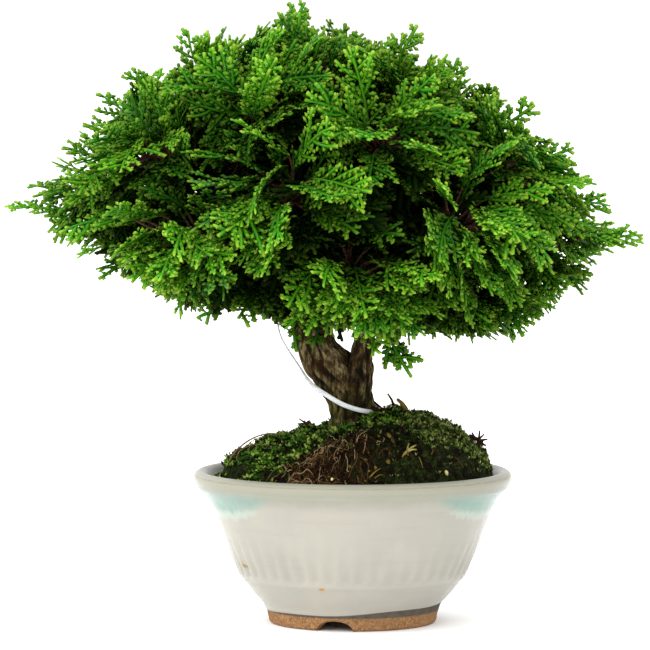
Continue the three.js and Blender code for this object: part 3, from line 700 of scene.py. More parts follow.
def shoots(places, heights, leaflets, spread, width_share, seed):
    """Moss shoots: at each place a few narrow leaflets fan out and up from one point.

    A leaflet is a kite folded along its midrib: its foot, its tip and two raised sides.
    """
    draw = np.random.default_rng(seed)
    count = len(places)
    turn = draw.uniform(0, 2 * np.pi, (count, 1)) + round_turns(leaflets)
    turn = turn + draw.normal(0, 0.3, turn.shape)
    lean = draw.uniform(0.25, 1.0, turn.shape) * spread
    out = ring_points(np.sin(lean), turn, np.cos(lean))
    side = np.stack([-np.sin(turn), np.cos(turn), np.zeros_like(turn)], axis=-1)
    length = heights[:, None, None] * draw.uniform(0.7, 1.2, (*turn.shape, 1))
    foot = np.broadcast_to(places[:, None, :], out.shape)
    middle = foot + out * length * 0.55 + np.array([0, 0, 0.14]) * length
    width = length * width_share
    points = np.stack([foot, middle + side * width, middle - side * width, foot + out * length], axis=2)
    one = np.array([[0, 2, 1], [1, 2, 3], [0, 1, 3], [0, 3, 2]])
    faces = (one[None] + np.arange(count * leaflets)[:, None, None] * 4).reshape(-1, 3)
    tone = np.broadcast_to(draw.uniform(0, 1, (count, 1, 1)), (count, leaflets, 4))
    # Painted shade: the second channel is 0 at a leaflet's foot, 0.6 at its sides and 1 at its tip.
    shades = shades_of(tone, [0.0, 0.6, 0.6, 1.0], tone, 1.0)
    return points.reshape(-1, 3), [faces], 0, shades.reshape(-1, 4)


def quartered_ball():
    """An eight-sided ball with each face cut in four: its points and its faces, facing out."""
    axes = np.array([[1, 0, 0], [0, 1, 0], [0, 0, 1], [-1, 0, 0], [0, -1, 0], [0, 0, -1]], float)
    pairs = [(a, b) for a in range(6) for b in range(a + 1, 6) if b != a + 3]
    middle = {pair: 6 + k for k, pair in enumerate(pairs)}
    faces = []
    for x, y, z in itertools.product((0, 3), (1, 4), (2, 5)):
        a, b, c = (x, y, z) if np.linalg.det(axes[[x, y, z]]) > 0 else (x, z, y)
        ab, bc, ca = (middle[tuple(sorted(pair))] for pair in ((a, b), (b, c), (c, a)))
        faces += [[a, ab, ca], [ab, b, bc], [ca, bc, c], [ab, bc, ca]]
    return np.vstack([axes, [unit(axes[a] + axes[b]) for a, b in pairs]]), np.array(faces)


def crumbs(places, sizes, tones, seed):
    """Small lumps: a ball of 32 faces for each, turned, stretched and roughened."""
    draw = np.random.default_rng(seed)
    ball, one = quartered_ball()
    count = len(places)
    frames = np.linalg.qr(draw.normal(0, 1, (count, 3, 3)))[0]
    rough = ball * draw.uniform(0.75, 1.2, (count, len(ball), 1)) * sizes[:, None, :]
    points = places[:, None, :] + np.einsum("nij,nkj->nki", frames, rough)
    faces = one[None] + np.arange(count)[:, None, None] * len(ball)
    mirrored = np.linalg.det(frames) < 0
    faces[mirrored] = faces[mirrored][:, :, ::-1]
    tone = np.repeat(tones, len(ball))
    return points.reshape(-1, 3), [faces.reshape(-1, 3)], 0, shades_of(tone, 1.0, tone, 1.0)


def on_mound(x, y, lift=0.0):
    """Points on the mound's top at places x, y, raised by a lift."""
    z = mound_top(np.hypot(x, y), np.arctan2(y, x))[0]
    return np.stack([x, y, z + lift], axis=-1)


def shown_at(x, z):
    """The place on the mound that the front view shows at x, z of the upright plane through its middle."""
    y = np.linspace(3 - MOUND_EDGE_RADIUS, 20, 300)
    share = 1 + y / EYE_DISTANCE
    along = (x - CAMERA_SIDE) * share + CAMERA_SIDE
    sight = (z - EYE_HEIGHT) * share + EYE_HEIGHT
    above = on_mound(along, y)[:, 2] - sight
    hit = np.argmax(above > 0) if np.any(above > 0) else np.argmax(above)
    return np.array([along[hit], y[hit], sight[hit]])


def scattered(count, seed):
    """Even random places over the mound, each with a random number from 0 to 1."""
    draw = np.random.default_rng(seed)
    radius = (MOUND_EDGE_RADIUS - 0.8) * np.sqrt(draw.uniform(0, 1, count))
    turn = draw.uniform(0, 2 * np.pi, count)
    return radius * np.cos(turn), radius * np.sin(turn), draw.uniform(0, 1, count)


def wandering(starts, turns, length, stations, curl, seed):
    """Paths over the mound from given starts: each step turns by a smooth random amount."""
    draw = np.random.default_rng(seed)
    shape = len(starts), stations
    step = length[:, None] / (stations - 1)
    bends = draw.normal(0, curl, shape).cumsum(axis=1)
    bends = bends - bends.mean(axis=1, keepdims=True) * 0.4
    heading = turns[:, None] + bends
    x = starts[:, :1] + np.cumsum(np.cos(heading) * step, axis=1)
    y = starts[:, 1:2] + np.cumsum(np.sin(heading) * step, axis=1)
    keep = np.maximum(np.hypot(x, y) / (MOUND_EDGE_RADIUS - 1.5), 1)
    arch = np.sin(np.linspace(0.25, np.pi, stations)) ** 0.5
    lift = np.abs(np.cumsum(draw.normal(0, 0.35, shape), axis=1)) * arch
    return on_mound(x / keep, y / keep, np.clip(lift, 0, 3.2) + 0.25)


def sticks(paths, thick, tones, sides):
    """Tubes that narrow along their paths, with a number for each stick's colour."""
    points, faces = tubes(paths, thick, sides)
    tone = np.repeat(tones, len(points) // len(tones))
    return points, faces, 0, shades_of(tone, 1.0, tone, 1.0)


# Roots that stand clear of the mound at its left: the points of each, and their radii.
ROOT_ARCHES = [
    [
        (-51.5, -8, 64), (-47.5, -9, 70.6), (-41.8, -9, 75.2), (-37, -9, 77.2), (-32.9, -9, 77.8),
        (-28, -9, 77.2),
    ],
    [(-47, -16, 68), (-45.9, -16, 71.2), (-39.8, -16, 74), (-34.5, -17, 73.6), (-31, -18, 72.5)],
    [(-49, -2, 66), (-44, -2, 71.5), (-38.5, -3, 75.4), (-33, -4, 75.6)],
]
ROOT_ARCH_RADII = np.array([[0.42], [0.3], [0.26]])
# Lumps at the stem's foot: place, three half sizes and tone.
STEM_LUMPS = [(9.5, -9.6, 87.2, 2.6, 1.9, 1.7, 0.08), (12.2, -8, 86.4, 2.2, 1.9, 1.5, 0.12)]
# Crumbs laid one by one: x and z as seen from the front, three half sizes and tone.
KEPT_CRUMBS = [
    (14.9, 75.9, 2.5, 2.0, 0.9, 0.56), (16.2, 74.4, 1.9, 1.4, 0.7, 0.4), (38.2, 60.8, 1.4, 1.0, 0.9, 0.86),
    (-8.3, 58.2, 0.9, 0.8, 0.8, 0.98), (6.6, 61.6, 0.8, 0.5, 0.5, 0.6), (14.4, 65.4, 1.5, 0.9, 0.6, 0.46),
    (-0.8, 63.2, 1.2, 0.8, 0.6, 0.46), (9.2, 63.0, 1.3, 0.7, 0.6, 0.5), (-40.1, 68.0, 0.8, 0.6, 0.6, 0.7),
    (-43.9, 67.2, 0.8, 0.5, 0.6, 0.66), (-37.0, 63.4, 0.6, 0.5, 0.5, 0.62),
]
# Sticks lying on the mound: x and z of both ends as seen from the front, radius and tone.
LAID_STICKS = [
    ((21.0, 68.0), (25.8, 71.8), 0.6, 0.7), ((22.4, 69.0), (26.0, 69.9), 0.5, 0.74),
    ((22.0, 68.8), (22.9, 72.4), 0.5, 0.7), ((21.4, 68.3), (20.2, 66.8), 0.45, 0.66),
    ((33.9, 71.6), (32.0, 67.6), 0.3, 0.44), ((27.0, 66.8), (28.6, 62.4), 0.3, 0.5),
    ((41.8, 66.8), (45.2, 62.6), 0.24, 0.42), ((7.0, 58.6), (11.4, 62.2), 0.32, 0.56),
    ((9.0, 58.2), (12.4, 59.6), 0.28, 0.54), ((-12, 68.4), (-16.2, 67.4), 0.34, 0.66),
    ((-28.6, 66.4), (-24.6, 62.2), 0.3, 0.6),
]
STICK_LIFT = np.array([0, -0.4, 0.5])
ROOT_STATIONS, ARCH_STATIONS, STICK_STATIONS = 11, 24, 6
ROOT_ARCH_SHADE = (0.75, 0.9, 0.4, 1.0)
# Sticks standing up from the mound: both ends, the bend between them, radius and tone.
STICKS = [
    ((16.4, 0, 86), (14.2, 0, 93.3), (0.9, 0, 0.4), 0.75, 0.3),
    ((21.6, -1, 86.6), (18, -1, 91.2), (0.4, 0, 0.3), 1.3, 0.52),
    ((12.5, 1, 86.5), (8.0, 1, 90.6), (0, 0, 0), 0.65, 0.3),
    ((-16.5, 3, 77.5), (-21.9, 3, 82.8), (0.6, 0, 0.2), 0.6, 0.3),
    ((-18.8, 2, 78.6), (-17.5, 2, 82.4), (0, 0, 0), 0.4, 0.25),
    ((-19.8, 3, 80.6), (-22.6, 2, 80.9), (0, 0, 0), 0.4, 0.25),
    ((46.7, -1, 74.4), (53.2, 0, 73.4), (0, 0, 0.9), 0.9, 0.12),
    ((51.6, 0, 70.8), (51.8, 0, 78.2), (-0.3, 0, 0), 0.7, 0.14),
    ((51.0, 0, 74), (55.0, 0, 74.6), (0, 0, 0), 0.7, 0.12),
    ((50.2, 0, 74.2), (48.6, 0, 77.4), (0, 0, 0), 0.7, 0.14),
    ((47.5, -1, 76.2), (51.4, 0, 74.8), (0, 0, 0), 0.8, 0.12),
    ((50.4, 0, 73.2), (54.4, 0, 72.0), (0, 0, 0.3), 0.8, 0.12),
    ((50.6, -1, 74), (53.6, -1, 76.8), (0, 0, 0), 0.6, 0.14),
    ((52.2, 0, 68.2), (54.4, 0, 70.8), (0, 0, 0), 0.8, 0.12),
]

# ---------------------------------------------------------------- crown layout

CROWN_CENTRE = np.array([-11.7, 0, 157])
BRANCH_COUNT = 30
LOWEST_BRANCH = math.radians(-42)
FIRST_BRANCH_TURN = math.radians(272)
STEM_START = 0.42
# How far the crown reaches by degrees above the level: as the leafy branches were laid out, at the
# finest tips, and for all that shows from the front.
REACH_ANGLES = np.arange(-60, 91, 15)
REACH_RIGHT = [54, 62, 84, 108, 132, 119, 108, 99, 94, 92, 98]
REACH_LEFT = [42, 47, 66, 90, 133, 129, 114, 112, 108, 104, 98]
REACH_DEPTH = [48, 56, 76, 98, 112, 110, 105, 101, 98, 97, 98]
OUTLINE_ANGLES = np.array([-90, -65, *range(-60, 91, 10)])
OUTLINE_RIGHT = [57, 57, 57, 60, 69, 87, 102, 112, 130, 115, 109, 104, 99, 95, 92, 92, 91, 93]
OUTLINE_LEFT = [43, 43, 43, 46, 52, 68, 80, 92, 119, 129, 117, 113, 109, 106, 97, 95, 99, 93]
OUTLINE_DEPTH = [50, 50, 50, 54, 64, 80, 96, 104, 112, 112, 109, 106, 103, 101, 99, 98, 97, 96]
FRONT_RIGHT = [38, 42, 55, 53, 62, 84, 99, 107, 128, 112, 106, 99, 95, 90, 88, 88, 85, 88]
FRONT_LEFT = [36, 41, 41, 42, 44, 60, 73, 82, 111, 124, 111, 107, 103, 101, 95, 90, 96, 88]
FRONT_SHARE = 0.965


def within_front(points):
    """True for each point that shows inside the crown's outline from the front.

    A point is carried along the line of sight onto the upright plane through the crown's middle
    and held against a table of the outline by angle.
    """
    share = EYE_DISTANCE / (EYE_DISTANCE + points[:, 1])
    x = (points[:, 0] + CROWN_CENTRE[0] - CAMERA_SIDE) * share + CAMERA_SIDE - CROWN_CENTRE[0]
    z = (points[:, 2] + CROWN_CENTRE[2] - EYE_HEIGHT) * share + EYE_HEIGHT - CROWN_CENTRE[2]
    angle = np.degrees(np.arctan2(z, np.abs(x)))
    right = np.interp(angle, OUTLINE_ANGLES, FRONT_RIGHT)
    left = np.interp(angle, OUTLINE_ANGLES, FRONT_LEFT)
    return np.hypot(x, z) <= np.where(x > 0, right, left) * FRONT_SHARE


def reach_along(directions, angles, right_side, left_side, depth):
    """How far the crown reaches: its right or left profile and its depth profile, mixed by direction."""
    elevation = np.degrees(np.arcsin(np.clip(directions[..., 2], -1, 1)))
    flat = np.maximum(np.hypot(directions[..., 0], directions[..., 1]), 1e-9)
    sideways = np.abs(directions[..., 0] / flat) ** 1.5
    right = np.interp(elevation, angles, right_side)
    left = np.interp(elevation, angles, left_side)
    side = np.where(directions[..., 0] > 0, right, left)
    front = np.interp(elevation, angles, depth)
    return front + (side - front) * sideways


def crown_reach(directions):
    """The reach that the leafy branches' frames were laid out by."""
    return reach_along(directions, REACH_ANGLES, REACH_RIGHT, REACH_LEFT, REACH_DEPTH)


def crown_outline(directions):
    """The reach of the finest tips."""
    return reach_along(directions, OUTLINE_ANGLES, OUTLINE_RIGHT, OUTLINE_LEFT, OUTLINE_DEPTH)


def branch_directions():
    """Directions spread evenly over the crown by the golden angle, from the top down."""
    index = np.arange(BRANCH_COUNT)
    height = 1 - (index + 0.5) / BRANCH_COUNT * (1 - math.sin(LOWEST_BRANCH))
    turn = index * math.pi * (3 - math.sqrt(5)) + FIRST_BRANCH_TURN
    return ring_points(np.sqrt(1 - height**2), turn, height)


DIRECTIONS = branch_directions()


def cell_walls(index):
    """Normals of the planes that part a leafy branch's space from its neighbours'."""
    others = np.vstack([np.delete(DIRECTIONS, index, axis=0), [[0, 0, -1]]])
    return unit(DIRECTIONS[index] - others)


# ---------------------------------------------------------------- trunk

# Points along the middle of the stem and its second limb, each with its radius.
MAIN_STEM = [
    (-0.5, 0, 62, 12.4), (-0.6, 0, 76, 10.8), (-0.9, 0, 84, 8.9), (-1.6, 0, 91, 9.0), (-4.2, 0, 98, 9.4),
    (-9.0, 0, 104, 8.9), (-13.6, 0, 110, 8.1), (-17.0, 1, 118, 7.2), (-19.5, 2, 130, 6.0),
    (-18.5, 2, 144, 5.0), (-15.0, 1, 158, 4.2), (-12.5, 0, 174, 3.2),
]
RIGHT_LIMB = [
    (-1.0, -2.5, 86, 5.4), (1.9, -4, 97, 5.8), (2.7, -3.6, 104, 5.0), (3.4, -2.5, 110, 4.2),
    (5.6, -1.5, 118, 3.5), (9.5, -2, 130, 3.2), (11.5, -1, 144, 2.9), (8.0, 0, 158, 2.5),
]
# The parts of both that carry boughs.
CARRIERS = (MAIN_STEM[6:], RIGHT_LIMB[4:])
BOUGH_RADIUS = 2.5
STEM_RADIUS = 1.6
BOUGH_BEND = 0.72
BOUGH_STATIONS = 8
BOUGH_SHADE = (0.45, 0.0, 0.0, 1.0)
# Points round and along the bark of the stem and of its second limb.
STEM_GRID, LIMB_GRID = (96, 170), (54, 104)
# Sizes across and along the limb of the bark's plates, cracks, shreds and lumps.
PLATE, CRACK, SHRED, LUMP = (3.0, 3.0, 14), (2.1, 2.1, 9), (1.1, 1.1, 3.8), (5, 5, 6)


def limb_line(limb, at):
    """Points and radii along a limb at places from 0 to 1."""
    limb = np.array(limb)
    stations = np.arange(len(limb))
    return smooth_curve(limb[:, :3], at), np.interp(at * stations[-1], stations, limb[:, 3])


def barked_limb(limb, sides, steps, relief, seed, beside):
    """A limb with bark: a tube whose radius carries slow flutes and long ridged fissures.

    Ridged noise is one minus the size of a noise, squeezed round the limb and drawn out along
    it, so it runs in long plates parted by narrow cracks. Where another limb lies close beside it,
    the bark is painted darker as shade in the fold between them.
    """
    at = np.linspace(0, 1, steps)
    centre, radius = limb_line(limb, at)
    radius = radius[:, None]
    heading = unit(np.gradient(centre, axis=0))
    across = unit(np.cross(np.cross(heading, [[1.0, 0, 0]]), heading))
    upright = np.cross(heading, across)
    turn = round_turns(sides)[None, :]
    run = np.append(0, np.cumsum(np.linalg.norm(np.diff(centre, axis=0), axis=1)))[:, None]
    bulge = radius * (1 + 0.07 * np.cos(3 * turn + at[:, None] * 2) + 0.042 * np.cos(5 * turn))
    sway = turn + 0.12 * np.sin(run / 7)
    skin = ring_points(bulge, sway, run + 0 * turn)
    plates = 1 - np.abs(fractal(skin, PLATE, 3, seed)) * 2
    cracks = np.clip(1 - np.abs(value_noise(skin, CRACK, seed + 9)) * 4.5, 0, 1)
    shreds = fractal(skin, SHRED, 2, seed + 4)
    lumps = value_noise(skin, LUMP, seed + 6)
    amount = relief * np.minimum(1, radius / 6)
    bulge = bulge + amount * (0.3 * plates - 0.75 * cracks + 0.65 * shreds + 0.8 * lumps)
    ring = np.cos(turn)[..., None] * across[:, None, :] + np.sin(turn)[..., None] * upright[:, None, :]
    points = centre[:, None, :] + bulge[..., None] * ring
    depth = np.clip(0.45 + 0.35 * plates - 0.6 * cracks + 0.35 * shreds + 0.15 * lumps, 0, 1)
    # Painted shade: the bark darkens where the other limb lies close beside it.
    other, wide = limb_line(beside, np.linspace(0, 1, 60))
    gap = (np.linalg.norm(points[:, :, None, :] - other, axis=-1) - wide).min(axis=2)
    depth = depth * np.clip(0.25 + gap / 2.6, 0.1, 1)
    low = np.clip((100 - points[..., 2]) / 22, 0, 1)
    faces = [grid_faces(steps, sides), *end_caps(steps, sides)]
    return points.reshape(-1, 3), faces, 0, shades_of(depth, low, 0.0, 1.0).reshape(-1, 4)


def boughs():
    """The boughs: tubes from the cheapest point of the stem or limb to each leafy branch.

    A point costs its distance, and more where it lies above the bough's end.
    """
    carriers = np.vstack([limb_line(limb, np.linspace(0, 1, 13))[0] for limb in CARRIERS])
    at = np.linspace(0, 1, BOUGH_STATIONS)
    paths = []
    for direction in DIRECTIONS:
        reach = crown_reach(direction)
        end = direction * (STEM_START * reach + 1.5) + CROWN_CENTRE
        middle = direction * STEM_START * reach * BOUGH_BEND + CROWN_CENTRE
        too_high = np.maximum(0, carriers[:, 2] - end[2] + 12)
        cost = np.linalg.norm(carriers - end, axis=1) + too_high * 1.5
        paths.append(smooth_curve([carriers[np.argmin(cost)], middle, end], at))
    radii = np.linspace(BOUGH_RADIUS, STEM_RADIUS, BOUGH_STATIONS)
    return (*tubes(paths, np.tile(radii, (len(paths), 1)), sides=8), 0, BOUGH_SHADE)


def bark_material():
    """Cypress bark: dry, shreddy and deeply fissured, brown-grey with a green film low down."""
    made, node, place = material("cypress_bark")
    depth, low, _, _ = growth_channels(node)
    fibre = node("noise", node("stretch", place, (1.0, 1.0, 0.16)), 1 / 1.3, 4.0, 0.65)
    flake = node("noise", node("stretch", place, (1.0, 1.0, 0.6)), 1 / 2.0, 5.0, 0.85)
    grain = node("plus", fibre, flake)
    # depth brings the bark's dark cracks and the painted shade in the fold between the limbs.
    tone = node("plus", node("times", depth, 0.28), node("times", grain, 0.5))
    tones = [(0.42, "#050402"), (0.56, "#1b140a"), (0.66, "#43361e"), (0.8, "#8f815b")]
    colour = node("ramp", tone, ramp=tones)
    warm = node("band", node("noise", place, 1 / 9, 2.0), 0.45, 0.7, 0.0, 0.3)
    film = node("times", low, node("band", node("noise", place, 1 / 5, 4.0), 0.34, 0.54))
    green = node("blend", node("band", tone, 0.45, 0.75), "#0b0e02", "#565a1d")
    colour = coated(node, colour, [(warm, "#43280f"), (node("times", film, 0.9), green)])
    rough = node("bump", grain, 0.9 * MM, 1.0)
    node("output", node("surface", Base_Color=colour, Roughness=0.9, Normal=rough, Specular_IOR_Level=0.1))
    return made


# ---------------------------------------------------------------- foliage

# A fan's lobes lie between notches at shares of its length, and reach sideways by a share of it.
NOTCHES = np.array([0.2, 0.42, 0.63, 0.83])
LOBE_REACH = np.array([0.42, 0.42, 0.27])
ARCH, CUP = 0.16, 0.3
FAN_TIP = 1.08
BUD_WIDEST = 0.74
FINGER_WIDTHS = np.array([0.76, 0.84, 0.95])
LONGEST_FAN = 29.0
SHRINK = 0.94
# A leafy branch's own fans: root as shares of the reach, heading, and length as a share of the reach.
FANS = [
    ((0.7, 0, 0), (1, 0, 0.15), 0.33),
    ((0.66, 0.045, 0.01), (0.7, 0.8, 0.15), 0.42),
    ((0.65, -0.045, 0.01), (0.7, -0.8, 0.15), 0.42),
    ((0.62, 0.03, 0.045), (0.75, 0.45, 0.85), 0.43),
    ((0.61, -0.03, 0.045), (0.75, -0.45, 0.9), 0.43),
    ((0.6, 0.03, -0.04), (0.8, 0.5, -0.5), 0.42),
    ((0.59, -0.03, -0.04), (0.8, -0.55, -0.55), 0.42),
]
# Swing, lift, share of length and age of the fans laid over and under each of them. The age
# also paints shade: the fans laid under take more of it and are coloured darker.
COMPANION_FANS = [
    (0.6, 5.0, 0.75, 0.0), (-0.55, -5.5, 0.8, 0.15), (-0.9, 2.5, 0.7, 0.06), (0.95, -3.0, 0.66, 0.1),
    (0.15, 8.5, 0.6, 0.04),
]
# Each kind of fan: spacing and width of its shoots, how far inside the branch's space it stays, the
# shortest that grows, and its share of the crown's reach.
YOUNG = {"pitch": 2.3, "width": 2.0, "margin": -2.5, "shortest": 8.0, "share": 1.03}
OLD = {"pitch": 3.2, "width": 3.0, "margin": -9.0, "shortest": 6.0, "share": 0.84}
OLDEST = {"pitch": 3.8, "width": 4.2, "margin": -30.0, "shortest": 6.0, "share": 0.84}
OLD_FANS, OLDEST_FANS = 12, 8
FAN_FIELDS = ("root", "heading", "normal", "length", "lobes", "age", "tone", "pitch", "width", "twist")
AXIS_FIELDS = ("fan", "u", "v", "lift", "angle", "bend", "length", "slope", "hand")
# Sprays that hang near the fork: root, heading, normal and length.
SPRAYS = [
    ((12.8, -6, 121.5), (0.48, -0.05, -1), (0.1, -1, 0), 22),
    ((18, -3, 119), (0.15, -0.1, -1), (-0.3, -1, 0), 14),
    ((-6.5, -3, 121.5), (0.25, 0, -1), (0.2, -1, 0), 6.5),
    ((-13, -13, 126), (-0.1, -0.3, -1), (0, -1, 0.3), 12),
    ((-24.5, -6, 124), (0.05, -0.2, -1), (0, -1, 0.2), 12),
]
# Tufts round the crown's edge: degrees from the right, reach of the tip, and place in depth.
TUFTS = [
    (0, 130, -4), (8, 117, 2), (14, 111, -6), (20, 108, 5), (32, 101, -3), (49, 92, 3), (56, 85, -4),
    (68, 94, 2), (100, 98, -3), (127, 103, 2), (139, 105, -5), (148, 109, 3), (154, 108, -6),
    (160, 112, 0), (170, 122, 2), (174, 130, -5),
]
TUFT_LENGTH = 25
# Places along a rib where the lobes' lengths are set, as shares of it.
LOBE_STOPS = np.array([0.0, 0.31, 0.525, 0.73, 1.0])
# How far up its axis the first shoot stands and how far apart the shoots are, for sides and buds.
SIDE_SPACING, BUD_SPACING = (1.6, 2.5), (0.9, 1.35)
SIDE_SLOPES, BUD_SLOPES = (-0.2, 0.26), (-0.15, 0.6)
SHOOT_SPREAD = 0.82
SHORTEST_SHOOT = 1.0
WIDEST_WITH_BUDS = 2.8
TWIG_RADIUS = 0.85
TWIG_STATIONS = 4


def fan_normal(heading, outward, roll):
    """A fan faces up where it lies flat and outwards where it stands up, with a small roll of its own."""
    lean = max(heading[2], 0) ** 2
    facing = square_to(heading, np.array([0, 0, 1 - lean]) + outward * (lean + 0.3))
    return facing * math.cos(roll) + np.cross(heading, facing) * math.sin(roll)


def fan_points(fan, along, across, lift):
    """Points of a fan: along its heading, across it and out of it, on a rib that arches down."""
    heading, normal, length = fan["heading"], fan["normal"], fan["length"]
    out = np.outer(lift - ARCH * length * along**2, normal)
    return fan["root"] + np.outer(along * length, heading) + np.outer(across, np.cross(normal, heading)) + out


def fits(points, walls, kind):
    """True for each point inside the branch's space and the crown's reach."""
    near = np.linalg.norm(points, axis=1) <= kind["share"] * crown_outline(unit(points))
    return (points @ walls.T > kind["margin"]).all(axis=1) & near & within_front(points)


def fitted(fan, walls, kind):
    """Shortens a fan until its rib fits its space, then each side lobe until its tip does."""
    along = np.array([0.6, 0.6, 0.83, 0.83, 0.42, FAN_TIP])
    across = 0.075 * np.array([1, -1, 1, -1, 0, 0])
    lift = np.array([0, 0, 0, 0, -1.6, -0.8])
    while not fits(fan_points(fan, along, across * fan["length"], lift), walls, kind).all():
        if fan["length"] <= kind["shortest"]:
            return None
        fan["length"] *= SHRINK
    shares = SHRINK ** np.arange(20)
    fan["lobes"] = np.ones((2, 3))
    for lobe, base in enumerate((NOTCHES[:-1] + NOTCHES[1:]) / 2):
        lead = NOTCHES[lobe + 1] + 0.18 - 0.05 * lobe - base
        for row, hand in enumerate((1, -1)):
            sideways = hand * LOBE_REACH[lobe] * shares * fan["length"]
            tips = fan_points(fan, base + lead * shares, sideways, -0.06 * shares * fan["length"])
            good = fits(tips, walls, kind)
            fan["lobes"][row, lobe] = shares[np.argmax(good)] if good.any() else shares[-1]
    return fan


def loose_fans():
    """The sprays near the fork and the tufts round the crown's edge, which needn't fit a space."""
    made = []
    tufts = []
    for angle, tip, depth in TUFTS:
        out = np.array([math.cos(math.radians(angle)), 0, math.sin(math.radians(angle))])
        root = out * (tip - TUFT_LENGTH * FAN_TIP) + CROWN_CENTRE + np.array([0, depth, 0])
        tufts.append((root, out + np.array([0, 0, 0.08]), (0.1, -0.7, 1.3 - out[2]), TUFT_LENGTH))
    for root, heading, normal, length in SPRAYS + tufts:
        heading = unit(np.array(heading, float))
        fan = {"root": np.array(root) - CROWN_CENTRE, "heading": heading, "length": length}
        fan["normal"] = square_to(heading, np.array(normal, float))
        fan.update(lobes=np.ones((2, 3)), pitch=YOUNG["pitch"], width=YOUNG["width"])
        fan.update(age=0.1, tone=0.3, twist=0.2)
        made.append(fan)
    return made


def branch_fans(index, draw):
    """The fans of one leafy branch, each with its root, heading, normal, length, age and tone.

    The first seven are the frame's own. Each has companions laid over and under it like
    shingles, and short old fans fill the space behind them; their age of 1.0 colours them near
    black as painted shade inside the crown.
    """
    direction = DIRECTIONS[index]
    reach = crown_reach(direction)
    side = unit(np.cross([0, 0, 1.0], direction))
    up = np.cross(direction, side)
    frame_of = np.stack([direction, side, up])
    outward = unit(np.array([direction[0], direction[1], 0]))
    droop = 0.5 * np.hypot(direction[0], direction[1])
    walls = cell_walls(index)
    made = []

    def grow(root, heading, normal, length, age, kind):
        fan = {"root": root, "heading": heading, "normal": square_to(heading, normal), "length": length}
        fan = fitted(fan, walls, kind)
        if fan is None:
            return
        if fan["length"] > LONGEST_FAN:
            ends = np.array([1 - LONGEST_FAN / fan["length"], 1.0])
            start, tip = fan_points(fan, ends, np.zeros(2), np.zeros(2))
            fan["heading"] = unit(tip - start)
            fan["normal"] = square_to(fan["heading"], fan["normal"])
            fan["root"], fan["length"] = start, LONGEST_FAN
        fan.update(age=age, pitch=kind["pitch"], width=kind["width"])
        fan.update(tone=draw.uniform(0, 1), twist=draw.normal(0, 0.6))
        made.append(fan)

    for row, (root, heading, length) in enumerate(FANS):
        number = index * 31 + row * 7
        heading = np.array(heading) @ frame_of
        heading = heading + side * 0.3 * (scatter(number) - 0.5) + up * 0.3 * (scatter(number + 1) - 0.5)
        heading = unit(heading - np.array([0, 0, droop]))
        normal = fan_normal(heading, outward, 0.9 * (scatter(number + 2) - 0.5))
        root = np.array(root) @ frame_of * reach
        length = length * reach * (1.25 + 0.25 * scatter(number + 3))
        grow(root, heading, normal, length, 0.0, YOUNG)
        for swing, lift, share, age in COMPANION_FANS:
            swing = (swing + draw.normal(0, 0.2)) * (1 if row % 2 else -1)
            other = heading * math.cos(swing) + np.cross(normal, heading) * math.sin(swing)
            lifted = root + normal * lift * draw.uniform(0.7, 1.3) + heading * draw.uniform(-4, 7)
            facing = unit(normal + draw.normal(0, 0.25, 3))
            grow(lifted, unit(other + normal * 0.03 * lift), facing, length * share, age, YOUNG)
    # Old and oldest fans take age 1.0, which colours them near black: painted shade inside the branch.
    for _ in range(OLD_FANS):
        heading = unit(direction * 0.6 + draw.normal(0, 1, 3) * 0.55)
        normal = fan_normal(heading, outward, draw.uniform(-0.6, 0.6))
        root = direction * reach * draw.uniform(0.3, 0.62) + side * draw.uniform(-8, 8)
        root = root + up * draw.uniform(-8, 8)
        grow(root, heading, normal, reach * draw.uniform(0.24, 0.36), 1.0, OLD)
    for _ in range(OLDEST_FANS):
        heading = unit(direction * 0.3 + draw.normal(0, 0.6, 3))
        normal = fan_normal(heading, outward, draw.uniform(-1.5, 1.5))
        root = direction * reach * draw.uniform(0.05, 0.3) + draw.normal(0, 6, 3)
        grow(root, heading, normal, reach * draw.uniform(0.25, 0.34), 1.0, OLDEST)
    made += [fan for fan in loose_fans() if np.argmax(DIRECTIONS @ unit(fan["root"])) == index]
    return made


def stem_and_twigs(index, fans):
    """The branch's woody stem and a thin twig to each fan's root, as three-sided tubes."""
    direction = DIRECTIONS[index]
    reach = crown_reach(direction)
    at = np.linspace(0, 1, TWIG_STATIONS)
    stem = direction * reach * (STEM_START + 0.32 * at)[:, None]
    paths, radii = [stem], [STEM_RADIUS - 0.8 * at]
    for fan in fans:
        along = np.clip((fan["root"] @ direction) / reach - 0.07, STEM_START, 0.72)
        foot = direction * reach * along
        tip = fan["root"] + fan["heading"] * 0.15 * fan["length"]
        middle = fan["root"] * 0.9 + foot * 0.1
        paths.append(smooth_curve([foot, middle, tip], at))
        radii.append(TWIG_RADIUS - 0.5 * at)
    points, faces = tubes(paths, radii, sides=3)
    return points + CROWN_CENTRE, faces, 1, 0.0


def along_axis(axes, rows, s):
    """Place across the fan and direction at a distance along bent axes: each axis is an arc."""
    bend = np.where(np.abs(axes["bend"][rows]) < 1e-4, 1e-4, axes["bend"][rows])
    start = axes["angle"][rows]
    angle = start + bend * s
    u = axes["u"][rows] + (np.sin(angle) - np.sin(start)) / bend
    v = axes["v"][rows] - (np.cos(angle) - np.cos(start)) / bend
    return u, v, axes["lift"][rows] + axes["slope"][rows] * s, angle


def numbered(counts):
    """The owner of each of many things laid end to end, counts of them to an owner, and its own number."""
    owner = np.repeat(np.arange(len(counts)), counts)
    return owner, np.arange(len(owner)) - np.repeat(np.cumsum(counts) - counts, counts)


